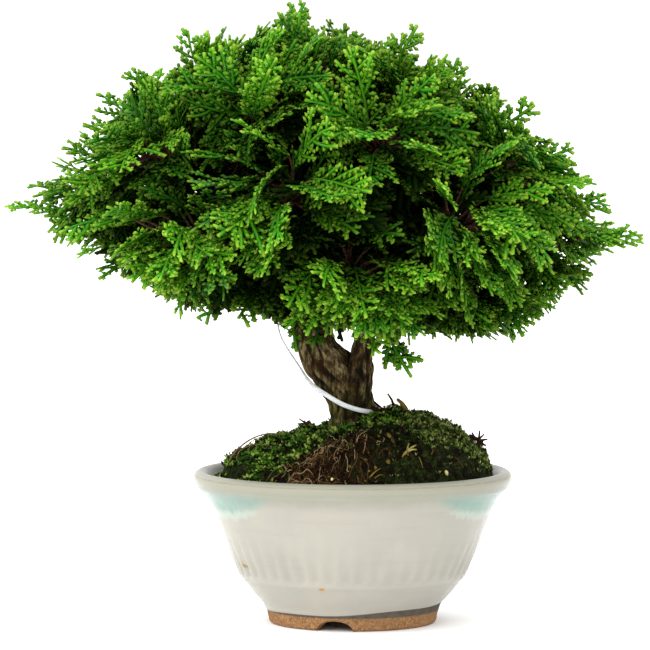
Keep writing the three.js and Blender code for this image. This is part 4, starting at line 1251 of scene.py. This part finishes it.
def offshoots(axes, first, spacing, length_of, slopes, draw):
    """Side shoots of every axis, on alternate hands at even spacing, bent a little forwards."""
    counts = np.maximum(((axes["length"] - first) / spacing).astype(int), 0)
    owner, step = numbered(counts)
    s = first + (step + draw.uniform(-0.25, 0.25, len(step))) * spacing
    hand = np.where(step % 2 == 0, 1, -1) * axes["hand"][owner]
    u, v, lift, angle = along_axis(axes, owner, s)
    length = length_of(owner, s, hand)
    keep = length > SHORTEST_SHOOT
    made = {
        "fan": axes["fan"][owner],
        "u": u,
        "v": v,
        "lift": lift,
        "angle": angle + hand * (SHOOT_SPREAD + draw.normal(0, 0.16, len(s))),
        "bend": -hand * draw.uniform(0.0, 0.07, len(s)),
        "length": length,
        "slope": draw.uniform(*slopes, len(s)),
        "hand": hand,
    }
    return {name: made[name][keep] for name in AXIS_FIELDS}


def fan_axes(fans, draw):
    """Axes of a set of fans, each in its fan's own plane, and their orders.

    A fan branches three times: a rib, side shoots whose lengths follow the fan's lobes, and short
    buds on those, of orders 0, 1 and 2. Old coarse fans have no buds.
    """
    count = len(fans["length"])
    tip_length = fans["length"] * FAN_TIP
    level = np.zeros(count)
    ribs = {
        "fan": np.arange(count),
        "u": level,
        "v": level,
        "lift": level,
        "angle": draw.normal(0, 0.08, count),
        "bend": draw.normal(0, 0.012, count),
        "length": tip_length,
        "slope": level,
        "hand": draw.choice((-1, 1), count),
    }
    lobes = np.moveaxis(fans["lobes"], -1, 0)
    full = [0.3 + 0 * lobes[0], 0.5 * lobes[0], 0.46 * lobes[1], 0.32 * lobes[2], 0.06 + 0 * lobes[0]]
    full = np.stack(full, axis=-1)

    def side_length(owner, s, hand):
        place = np.clip(s / tip_length[owner], 0, 1)
        profile = full[owner, (hand < 0).astype(int)]
        before = np.clip(np.searchsorted(LOBE_STOPS, place, side="right") - 1, 0, 3)
        rows = np.arange(len(owner))
        share = (place - LOBE_STOPS[before]) / (LOBE_STOPS[before + 1] - LOBE_STOPS[before])
        reach = profile[rows, before] + (profile[rows, before + 1] - profile[rows, before]) * share
        return reach * fans["length"][owner] * draw.uniform(0.5, 1.12, len(owner))

    sides = offshoots(ribs, *SIDE_SPACING, side_length, SIDE_SLOPES, draw)

    def bud_length(owner, s, hand):
        left = sides["length"][owner] - s
        return np.clip(0.3 * left + 1.0, 1.4, 4.0) * draw.uniform(0.7, 1.3, len(owner))

    buds = offshoots(sides, *BUD_SPACING, bud_length, BUD_SLOPES, draw)
    orders = (ribs, sides, buds)
    axes = {name: np.concatenate([one[name] for one in orders]) for name in AXIS_FIELDS}
    order = np.repeat([0, 1, 2], [len(one["u"]) for one in orders])
    keep = (fans["width"][axes["fan"]] <= WIDEST_WITH_BUDS) | (order < 2)
    return {name: axes[name][keep] for name in AXIS_FIELDS}, order[keep]


def sheath_faces(start, end, bud):
    """Faces of all the fingers, between rings of three corners and to their tips and feet.

    start, end and bud tell of each ring whether it is the first of a finger, the last of one and
    the only ring of a bud. The points are the rings', then the tips, then the buds' feet.
    """
    here = 3 * np.nonzero(~end)[0][:, None, None]
    sheath = np.array([[2, 5, 3, 0], [1, 4, 5, 2], [0, 3, 4, 1]])
    first, last, ring = (3 * np.nonzero(flag)[0] for flag in (start, end, bud))
    tip = 3 * len(end) + np.arange(len(last))
    foot = 3 * len(end) + len(tip) + np.arange(len(ring))
    pairs = ((2, 0), (1, 2), (0, 1))
    cone = np.stack([np.stack([last + a, tip, last + b], axis=-1) for a, b in pairs], axis=1)
    stalk = np.stack([np.stack([ring + b, foot, ring + a], axis=-1) for a, b in pairs], axis=1)
    base = first[:, None] + np.array([0, 1, 2])
    return [(here + sheath).reshape(-1, 4), cone.reshape(-1, 3), stalk.reshape(-1, 3), base]


def ring_shades(fans, fan, order, rings, far, centre, start, draw):
    """Growth channels of each ring, for its two edges and for its keel: fresh tip, age, tone, crease.

    far is the way from a ring to its finger's tip. The age channel also carries painted shade:
    it grows darker inwards and downwards, deep in the crown and low down.
    """
    fresh = np.repeat(draw.uniform(0.45, 1.1, len(rings)), rings)
    tip = np.clip(np.exp(-far / 1.9) * fresh, 0, 1)
    # Painted shade: growth deep inside the crown's outline and below its middle is made darker through the
    # age channel.
    inner = np.clip(1.25 - np.linalg.norm(centre, axis=1) / crown_outline(unit(centre)), 0, 1) / 0.6
    low = np.clip(-centre[:, 2] / 50, 0, 1)
    age = np.clip(fans["age"][fan] * 0.85 + inner * 0.72 + 0.12 * low, 0, 1)
    tone = 0.75 * fans["tone"][fan] + np.repeat(draw.uniform(0, 0.25, len(rings)), rings)
    # Painted shade: each finger's foot is darker, and its two edges take 0.6 of this channel; ribs and side
    # shoots are darker than buds.
    crease_shade = np.where(start, 0.35, 1.0) * np.array([0.62, 0.85, 1.0])[order]
    return shades_of(tip, age, tone, 0.6 * crease_shade), shades_of(tip, age, tone, crease_shade)


def fan_branchlets(fans, draw):
    """All the scale-clad branchlets of a set of fans, as blunt keeled fingers along their axes.

    A fan is flat, but its plane is bent by z = -arch u^2 - cup v^2 + twist u v. A finger is a
    three-cornered sheath with a short tip, and a bud is one such corner ring drawn to a point at
    both ends.
    """
    fans = {name: np.array([fan[name] for fan in fans]) for name in FAN_FIELDS}
    axes, order = fan_axes(fans, draw)
    pitch = fans["pitch"][axes["fan"]] * np.where(order == 0, 1.3, 1.1)
    number = np.where(order == 2, 0, np.maximum(np.round(axes["length"] / pitch), 1)).astype(int)
    rings = number + 1
    row, step = numbered(rings)
    order, number, fan, whole = order[row], number[row], axes["fan"][row], axes["length"][row]
    bud = order == 2
    start, end = (step == 0) & ~bud, step == number
    s = whole * np.where(bud, BUD_WIDEST, step / np.maximum(number, 1))
    u, v, lift, angle = along_axis(axes, row, s)
    length, root, heading, normal = (fans[name][fan] for name in ("length", "root", "heading", "normal"))
    side = np.cross(normal, heading)
    arch, cup, twist = ARCH / length, CUP / length, fans["twist"][fan] / length
    out = lift - arch * u**2 - cup * v**2 + twist * u * v + 0.5 * np.sin(u / 6 + 9 * fans["tone"][fan])
    centre = root + heading * u[:, None] + side * v[:, None] + normal * out[:, None]
    slope_u, slope_v = twist * v - 2 * arch * u, twist * u - 2 * cup * v
    climb = axes["slope"][row] + slope_u * np.cos(angle) + slope_v * np.sin(angle)
    ahead = heading * np.cos(angle)[:, None] + side * np.sin(angle)[:, None] + normal * climb[:, None]
    ahead = unit(ahead)
    above = normal - heading * slope_u[:, None] - side * slope_v[:, None]
    roll = np.repeat(draw.normal(0, 0.22, (len(rings), 3)), rings, axis=0)
    left = unit(np.cross(unit(above + roll), ahead))
    above = np.cross(ahead, left)
    wide = fans["width"][fan] * FINGER_WIDTHS[order] * draw.uniform(0.86, 1.14, len(row))
    wide = wide * np.where(start, 0.72, 1.0)

    def corner(sideways, raised):
        return centre + left * (sideways * wide)[:, None] + above * (raised * wide)[:, None]

    walls = np.stack([corner(0.5, 0), corner(-0.5, 0), corner(0, 0.42)], axis=1).reshape(-1, 3)
    beyond = np.where(bud, (1 - BUD_WIDEST) * whole, 0) + 0.26 * wide
    tips = (centre + ahead * beyond[:, None] + above * (0.16 * wide)[:, None])[end]
    feet = (centre - ahead * s[:, None])[bud]
    points = np.vstack([walls, tips, feet]) + CROWN_CENTRE
    edge, crest = ring_shades(fans, fan, order, rings, whole - s, centre, start, draw)
    # A bud's foot point is less fresh and painted in shade.
    hidden = crest[bud] * np.array([0.3, 1, 1, 0.35])
    shades = np.vstack([np.stack([edge, edge, crest], axis=1).reshape(-1, 4), crest[end], hidden])
    return points, sheath_faces(start, end, bud), 0, shades


def scale_leaf(sizes):
    """Hinoki scale leaves: small, blunt and waxy, yellow-green at the growing tips.

    Scales deep in the crown, low down and on the old fans are painted near black as shade, and
    each finger is painted darker, as shade, at its foot where the next one overlaps it and along
    its edges, so the branchlets look jointed. Fine pale flecks are partly waxy bloom, partly
    painted highlight.
    """
    made, node, place = material("scale_leaf")
    tip, age, tone, crease_shade = growth_channels(node)
    coats = [
        (node("band", tone, 0.1, 0.7), "#389112"),
        (node("band", tone, 0.78, 0.95, 0.0, 0.8), "#468a40"),
        (node("band", node("noise", place, 1 / 16, 2.0), 0.4, 0.65, 0.0, 0.45), "#5fa60c"),
        (node("band", tip, 0.15, 0.95), node("blend", tone, (*sizes.tip, 1.0), "#86b62c")),
        # Pale flecks: partly the leaves' waxy bloom, partly painted highlight.
        (node("band", node("noise", place, 1 / 0.8, 2.0), 0.56, 0.72, 0.0, 0.36), "#9cc08e"),
        # Painted shade: the age channel takes deep, low and old growth near black.
        (node("band", age, 0.1, 0.8, 0.0, 0.97), "#050b03"),
    ]
    leaf = coated(node, (*sizes.leaf, 1.0), coats)
    # Painted shade at the fingers' feet and along their edges, from the crease channel.
    shadow = node("band", crease_shade, 0.0, 0.8, 0.55, 1.0)
    leaf = node("blend", shadow, node("blend", 0.75, leaf, "#0a1f03"), leaf)
    waxy = node("band", age, 0.0, 0.7, 0.13, 0.01)
    node("output", node("surface", Base_Color=leaf, Roughness=0.45, IOR=1.45, Specular_IOR_Level=waxy))
    return made


def twig_material():
    """Young cypress twigs: thin smooth bark, red-brown."""
    made, node, place = material("young_twig")
    grain = node("noise", place, 1 / 1.2)
    colour = node("ramp", grain, ramp=[(0.3, "#1b0e07"), (0.55, "#432616"), (0.75, "#6f472c")])
    node("output", node("surface", Base_Color=colour, Roughness=0.75, Specular_IOR_Level=0.25))
    return made


# ---------------------------------------------------------------- tie strap

# Points along the middle of the strap, each with the direction that its width lies in.
STRAP_ROUTE = [
    (-28.9, -6, 116.3, 0, 1, 0.1), (-21.9, -9.4, 105.2, 0.1, 1, 0.3), (-17.0, -10.8, 98.2, 0.2, 0.6, 0.7),
    (-10.0, -11.4, 93.2, 0.3, 0, 0.9), (-3.2, -11.2, 89.4, 0.3, 0, 0.9), (4.5, -9.6, 87.0, 0.2, 0, 1),
    (9.8, -4.6, 86.4, 0, 0, 1), (10.6, 3.5, 87.2, 0, 0, 1), (6.0, 9.6, 89, 0, 0, 1),
    (-3.0, 11.6, 92, 0, 0, 1), (-12.0, 11.2, 99, 0.2, 0, 1), (-17.0, 10.0, 107, 0.6, 0.3, 0.6),
    (-23.5, 7.6, 116, 0.2, 1, 0), (-30.0, 0, 121.5, 0, 1, 0),
]
# The strap's section in half widths and half thicknesses.
STRAP_SECTION = [(-1, 0), (-0.88, -1), (0, -1.05), (0.88, -1), (1, 0), (0.88, 1), (0, 1.05), (-0.88, 1)]
STRAP_WIDTH, STRAP_THICKNESS = 1.9, 0.6
STRAP_STATIONS = 180


def strap_surface():
    """The strap: an oblong section with rounded corners, carried round a closed curve."""
    at = np.arange(STRAP_STATIONS) / STRAP_STATIONS
    route = np.array(STRAP_ROUTE, float)
    centre = smooth_curve(route[:, :3], at, closed=True)
    ahead = unit(np.roll(centre, -1, axis=0) - np.roll(centre, 1, axis=0))
    across = smooth_curve(route[:, 3:], at, closed=True)
    across = unit(across - ahead * np.sum(across * ahead, axis=1, keepdims=True))
    section = np.array(STRAP_SECTION) * (STRAP_WIDTH / 2, STRAP_THICKNESS / 2)
    wide, thick = section[None, :, :1], section[None, :, 1:]
    points = centre[:, None, :] + wide * across[:, None, :] + thick * np.cross(ahead, across)[:, None, :]
    faces = [grid_faces(STRAP_STATIONS, len(STRAP_SECTION), wrap_rows=True)]
    return points.reshape(-1, 3), faces, 0, 0.0


def white_strapping():
    """Polypropylene strapping: extruded and smooth, a soft sheen."""
    made, node, place = material("white_strapping")
    grain = node("noise", node("stretch", place, (0.2, 0.2, 1.0)), 1 / 2, 2.0)
    colour = node("blend", node("band", grain, 0.3, 0.7), "#eef0f1", "#dcdfe2")
    node("output", node("surface", Base_Color=colour, Roughness=0.35, IOR=1.49))
    return made


def screen_mesh():
    """Moulded polyethylene mesh, dull and dusty."""
    made, node, place = material("screen_mesh")
    colour = node("blend", node("noise", place, 1 / 2), "#1a2a18", "#3b4a35")
    node("output", node("surface", Base_Color=colour, Roughness=0.6, IOR=1.5))
    return made


def brown_wire():
    """Annealed aluminium wire, brown anodised."""
    made, node, place = material("brown_wire")
    colour = node("blend", node("noise", place, 1 / 1.5, 2.0), "#7a4a2c", "#9c6a46")
    node("output", node("surface", Base_Color=colour, Metallic=1.0, Roughness=0.38))
    return made


def white_card():
    """Seamless white card: uncoated and matt, without a highlight."""
    made, node, _ = material("white_card")
    node("output", node("surface", Base_Color=(0.94, 0.94, 0.94, 1.0), Roughness=0.9, Specular_IOR_Level=0.1))
    return made


# ---------------------------------------------------------------- settings

SKY_BRIGHTEST = (-0.6, -0.36, 0.72)
KEY_PLACE, KEY_AIM, KEY_SIZE = (-0.9, -0.9, 1.9), (0, 0, 0.12), 1.2
SENSOR_WIDTH = 36
FARTHEST_SEEN = 50
FLOOR_HALF_WIDTH = 20.0


def setting(kind, name, description, default, **limits):
    """A setting of a piece with its name, description, starting value and limits."""
    return kind(name=name, description=description, default=default, **limits)


def colour_setting(name, description, code):
    """A colour setting that starts from an sRGB hex colour."""
    return setting(FloatVectorProperty, name, description, linear(code)[:3], subtype="COLOR", size=3)


class PotSettings(bpy.types.PropertyGroup):
    flutes: setting(IntProperty, "Flutes", "Shallow hollows round the pot's wall", 48, min=0, max=96)
    flute_depth: setting(
        FloatProperty, "Flute depth", "Depth of each flute in millimetres", 0.95, min=0, max=2,
    )
    glaze: colour_setting("Glaze", "Cream glaze colour", "#a6a297")
    patch: colour_setting("Patch", "Glaze colour in the patches under the rim", "#7d9c91")


class GroundSettings(bpy.types.PropertyGroup):
    moss_shoots: setting(IntProperty, "Moss shoots", "Shoots over the whole mound", 7400, min=0, max=20000)
    grey_shoots: setting(
        IntProperty, "Grey moss shoots", "Fine shoots over the mound", 12000, min=0, max=40000,
    )
    crumbs: setting(IntProperty, "Crumbs", "Bits of bark and grit over the mound", 900, min=0, max=3000)
    roots: setting(IntProperty, "Bare roots", "Fine roots laid bare at the front", 330, min=0, max=600)


class FoliageSettings(bpy.types.PropertyGroup):
    leaf: colour_setting("Leaf", "Colour of grown scale leaves", "#58ad14")
    tip: colour_setting("Tip", "Colour of the growing tips", "#a3cc38")
    seed: setting(IntProperty, "Seed", "Draw of the fans' small differences", 11, min=0)


class TrunkSettings(bpy.types.PropertyGroup):
    relief: setting(
        FloatProperty, "Bark relief", "Depth of the bark's fissures in millimetres", 0.9, min=0, max=3,
    )


class StageSettings(bpy.types.PropertyGroup):
    distance: setting(
        FloatProperty, "Camera distance", "Distance from the pot's axis", EYE_DISTANCE * MM,
        min=0.5, unit="LENGTH",
    )
    eye_height: setting(
        FloatProperty, "Eye height", "Height of the camera", EYE_HEIGHT * MM, min=0, unit="LENGTH",
    )
    aim_height: setting(
        FloatProperty, "Aim height", "Height that the camera looks at", 0.1213, min=0, unit="LENGTH",
    )
    view_width: setting(
        FloatProperty, "View width", "Width of the view at the pot", 0.2646, min=0.05, unit="LENGTH",
    )
    key_power: setting(FloatProperty, "Key light", "Power of the large soft light", 12, min=0, unit="POWER")
    sky: setting(FloatProperty, "Surround", "Brightness of the dim side of the white light tent", 1.12, min=0)
    sky_lift: setting(
        FloatProperty, "Surround lift", "How many times brighter the tent's upper left is", 2.1, min=1,
    )


# ---------------------------------------------------------------- operators


def turned_to(thing, target):
    """Turns a camera or a lamp, which look along their own -Z, to a target; returns how far off it is."""
    sight = Vector(target) - thing.location
    thing.rotation_euler = sight.to_track_quat("-Z", "Y").to_euler()
    return sight.length


def placed(name, data, place=(0, 0, 0)):
    """A new object with its data, at a place in the scene."""
    made = bpy.data.objects.new(name, data)
    made.location = place
    bpy.context.scene.collection.objects.link(made)
    return made


class BONSAI_OT_stage(bpy.types.Operator):
    """Sets the pale floor, the white surround, the soft light and the camera"""

    bl_idname = "bonsai.stage"
    bl_label = "Stage"

    def execute(self, context):
        sizes = context.scene.bonsai_stage
        view_x, view_y, _ = POT_AXIS + (CAMERA_SIDE * MM, 0, 0)
        eye = (view_x, view_y - sizes.distance, sizes.eye_height)
        camera = placed("camera", bpy.data.cameras.new("camera"), eye)
        away = turned_to(camera, (view_x, view_y, sizes.aim_height))
        camera.data.sensor_width = SENSOR_WIDTH
        camera.data.lens = SENSOR_WIDTH * away / sizes.view_width
        camera.data.clip_end = FARTHEST_SEEN
        context.scene.camera = camera
        world = bpy.data.worlds.new("surround")
        world.use_nodes = True
        tree = world.node_tree
        tree.nodes.clear()
        facing = add(tree, "dot", add(tree, "sight"), SKY_BRIGHTEST)
        strength = add(tree, "band", facing, -0.6, 1.0, sizes.sky, sizes.sky * sizes.sky_lift)
        add(tree, "world output", add(tree, "backdrop", "#ffffff", strength))
        context.scene.world = world
        key = placed("key", bpy.data.lights.new("key", "AREA"), KEY_PLACE)
        key.data.energy = sizes.key_power
        key.data.size = KEY_SIZE
        turned_to(key, KEY_AIM)
        half = FLOOR_HALF_WIDTH
        corners = [(-half, -half, 0), (half, -half, 0), (half, half, 0), (-half, half, 0)]
        mesh = bpy.data.meshes.new("floor")
        mesh.from_pydata(corners, [], [(0, 1, 2, 3)])
        mesh.materials.append(white_card())
        floor = placed("floor", mesh)
        context.scene.view_settings.view_transform = "Standard"
        return {"FINISHED"}


class BONSAI_OT_pot(bpy.types.Operator):
    """Makes the glazed pot with its flutes, lip, patches and notched bare foot"""

    bl_idname = "bonsai.pot"
    bl_label = "Pot"

    def execute(self, context):
        sizes = context.scene.bonsai_pot
        wall = pot_surface(POT_COLUMNS, sizes.flutes, sizes.flute_depth)
        piece("pot_glazed", [wall], [glazed_stoneware(sizes)], ["pot"])
        return {"FINISHED"}


class BONSAI_OT_ground(bpy.types.Operator):
    """Makes the root ball and its two mosses"""

    bl_idname = "bonsai.ground"
    bl_label = "Root ball and moss"

    def execute(self, context):
        sizes = context.scene.bonsai_ground
        soil = soil_surface(SOIL_COLUMNS, SOIL_ROWS)
        piece("root_ball", [soil], [potting_soil()], ["soil"])
        x, y, pick = scattered(sizes.moss_shoots, SEEDS["moss places"])
        lush = ground_cover(x, y)[0] > pick
        places = on_mound(x[lush], y[lush], -0.3)
        heights = 1.2 + 1.9 * scatter(np.arange(len(places)))
        moss = shoots(places, heights, leaflets=4, spread=1.15, width_share=0.25, seed=SEEDS["moss"])
        fresh = stalk_material("cushion_moss", ("#0f1c05", "#2f5a0b", "#629a22", "#b4c45c"), 0.7, 0.1)
        piece("cushion_moss", [moss], [fresh])
        x, y, pick = scattered(sizes.grey_shoots, SEEDS["grey moss places"])
        bright, grey, _ = ground_cover(x, y)
        sparse = (grey * 1.15 + 0.05 > pick) & (bright < 0.6)
        places = on_mound(x[sparse], y[sparse], -0.2)
        heights = 1.1 + 1.2 * scatter(np.arange(len(places)) + 7)
        moss = shoots(places, heights, leaflets=3, spread=0.9, width_share=0.16, seed=SEEDS["grey moss"])
        dull = stalk_material("grey_moss", ("#131f07", "#3f5e15", "#779035", "#b9c276"), 0.85, 0.1)
        piece("grey_moss", [moss], [dull])
        return {"FINISHED"}


class BONSAI_OT_roots(bpy.types.Operator):
    """Lays fine bare roots, twigs and small litter over the front of the root ball"""

    bl_idname = "bonsai.roots"
    bl_label = "Bare roots and litter"

    def execute(self, context):
        sizes = context.scene.bonsai_ground
        draw = np.random.default_rng(SEEDS["roots"])
        count = sizes.roots
        starts = np.stack([draw.normal(-10, 9, count), draw.normal(-49, 4.5, count)], axis=-1)
        turns = draw.uniform(-np.pi, np.pi, count)
        length = draw.uniform(5, 13, count)
        paths = wandering(starts, turns, length, ROOT_STATIONS, curl=0.4, seed=SEEDS["root paths"])
        thick = draw.uniform(0.09, 0.2, (count, 1)) * np.linspace(1, 0.6, ROOT_STATIONS)
        lying = sticks(paths, thick, draw.uniform(0, 1, count) ** 1.4, sides=4)
        at = np.linspace(0, 1, ARCH_STATIONS)
        paths = [smooth_curve(route, at) for route in ROOT_ARCHES]
        arching = (*tubes(paths, ROOT_ARCH_RADII * (1 - 0.4 * at), sides=6), 0, ROOT_ARCH_SHADE)
        root = stalk_material("bare_root", ("#100804", "#2c170b", "#56391f", "#a08c66"), 0.85, 0.05)
        piece("bare_roots", [lying, arching], [root])

        x, y, tone = scattered(sizes.crumbs, SEEDS["crumb places"])
        bare = ground_cover(x, y)[0] * 0.75 < scatter(np.arange(len(x)))
        places = on_mound(x[bare], y[bare], 0.1)
        tone = np.where(tone[bare] > 0.98, 0.76, 0.5 * tone[bare] ** 2.5)
        strewn = crumbs(places, draw.uniform(0.3, 1.1, (len(places), 3)), tone, SEEDS["crumbs"])
        laid = np.array([[*shown_at(x, z), *rest] for x, z, *rest in KEPT_CRUMBS] + STEM_LUMPS)
        kept = crumbs(laid[:, :3], laid[:, 3:6], laid[:, 6], SEEDS["kept crumbs"])
        up = STICK_LIFT
        flat = [(shown_at(*start) + up, shown_at(*end) + up, up, *rest) for start, end, *rest in LAID_STICKS]
        every = STICKS + flat
        at = np.linspace(0, 1, STICK_STATIONS)
        routes = [[start, (np.array(start) + end) / 2 + bend, end] for start, end, bend, _, _ in every]
        paths = np.array([smooth_curve(route, at) for route in routes])
        thick = np.array([[radius] for *_, radius, _ in every]) * (1 - 0.5 * at)
        twigs = sticks(paths, thick, [tone for *_, tone in every], sides=5)
        dry = stalk_material("dry_litter", ("#0d0704", "#33220f", "#7f6e2c", "#d2cc8c"), 0.9, 0.1)
        piece("litter", [strewn, kept, twigs], [dry])
        return {"FINISHED"}


class BONSAI_OT_trunk(bpy.types.Operator):
    """Makes the trunk, its second limb and the boughs, in fissured bark"""

    bl_idname = "bonsai.trunk"
    bl_label = "Trunk"

    def execute(self, context):
        relief = context.scene.bonsai_trunk.relief
        stem = barked_limb(MAIN_STEM, *STEM_GRID, relief, SEEDS["stem bark"], beside=RIGHT_LIMB)
        limb = barked_limb(RIGHT_LIMB, *LIMB_GRID, relief, SEEDS["limb bark"], beside=MAIN_STEM)
        piece("trunk_bark", [stem, limb, boughs()], [bark_material()], ["trunk"])
        return {"FINISHED"}


class BONSAI_OT_foliage(bpy.types.Operator):
    """Grows the scale leaves of every leafy branch"""

    bl_idname = "bonsai.foliage"
    bl_label = "Foliage"

    def execute(self, context):
        sizes = context.scene.bonsai_foliage
        finishes = [scale_leaf(sizes), twig_material()]
        for index in range(BRANCH_COUNT):
            draw = np.random.default_rng(sizes.seed * 1000 + index)
            fans = branch_fans(index, draw)
            parts = [fan_branchlets(fans, draw), stem_and_twigs(index, fans)]
            name = f"leafy_branch_{index + 1:02d}"
            piece(f"{name}_leaves", parts, finishes, [name])
        return {"FINISHED"}


class BONSAI_OT_strap(bpy.types.Operator):
    """Makes the white tie strap round the trunk and finishes the drain screen and its clip"""

    bl_idname = "bonsai.strap"
    bl_label = "Strap and drainage"

    def execute(self, context):
        piece("strap_band", [strap_surface()], [white_strapping()], ["tie_strap"])
        for name, finish in (("drain_screen", screen_mesh()), ("screen_clip", brown_wire())):
            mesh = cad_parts[name].data
            mesh.materials.clear()
            mesh.materials.append(finish)
        return {"FINISHED"}


class BONSAI_PT_pieces(bpy.types.Panel):
    """Lists the bonsai's pieces and their settings"""

    bl_idname = "BONSAI_PT_pieces"
    bl_label = "Bonsai"
    bl_space_type = "VIEW_3D"
    bl_region_type = "UI"
    bl_category = "Bonsai"

    def draw(self, context):
        for operator, name in STEPS.items():
            column = self.layout.column(align=True)
            column.operator(operator)
            group = getattr(context.scene, name) if name else None
            for value in getattr(type(group), "__annotations__", {}):
                column.prop(group, value)


# The operators in order, each with the settings that it reads.
STEPS = {
    "bonsai.stage": "bonsai_stage",
    "bonsai.pot": "bonsai_pot",
    "bonsai.ground": "bonsai_ground",
    "bonsai.roots": "bonsai_ground",
    "bonsai.trunk": "bonsai_trunk",
    "bonsai.foliage": "bonsai_foliage",
    "bonsai.strap": None,
}
SETTINGS = {
    "bonsai_stage": StageSettings,
    "bonsai_pot": PotSettings,
    "bonsai_ground": GroundSettings,
    "bonsai_trunk": TrunkSettings,
    "bonsai_foliage": FoliageSettings,
}
CLASSES = (
    *SETTINGS.values(), BONSAI_OT_stage, BONSAI_OT_pot, BONSAI_OT_ground, BONSAI_OT_roots,
    BONSAI_OT_trunk, BONSAI_OT_foliage, BONSAI_OT_strap, BONSAI_PT_pieces,
)


def register():
    """Registers the classes and hangs the settings on the scene."""
    for one in CLASSES:
        bpy.utils.register_class(one)
    for name, group in SETTINGS.items():
        setattr(bpy.types.Scene, name, PointerProperty(type=group))


def unregister():
    """Undoes register()."""
    for name in SETTINGS:
        delattr(bpy.types.Scene, name)
    for one in reversed(CLASSES):
        bpy.utils.unregister_class(one)


def main():
    """Makes every piece in order."""
    register()
    for operator in STEPS:
        group, name = operator.split(".")
        getattr(getattr(bpy.ops, group), name)()


if __name__ == "__main__":
    main()
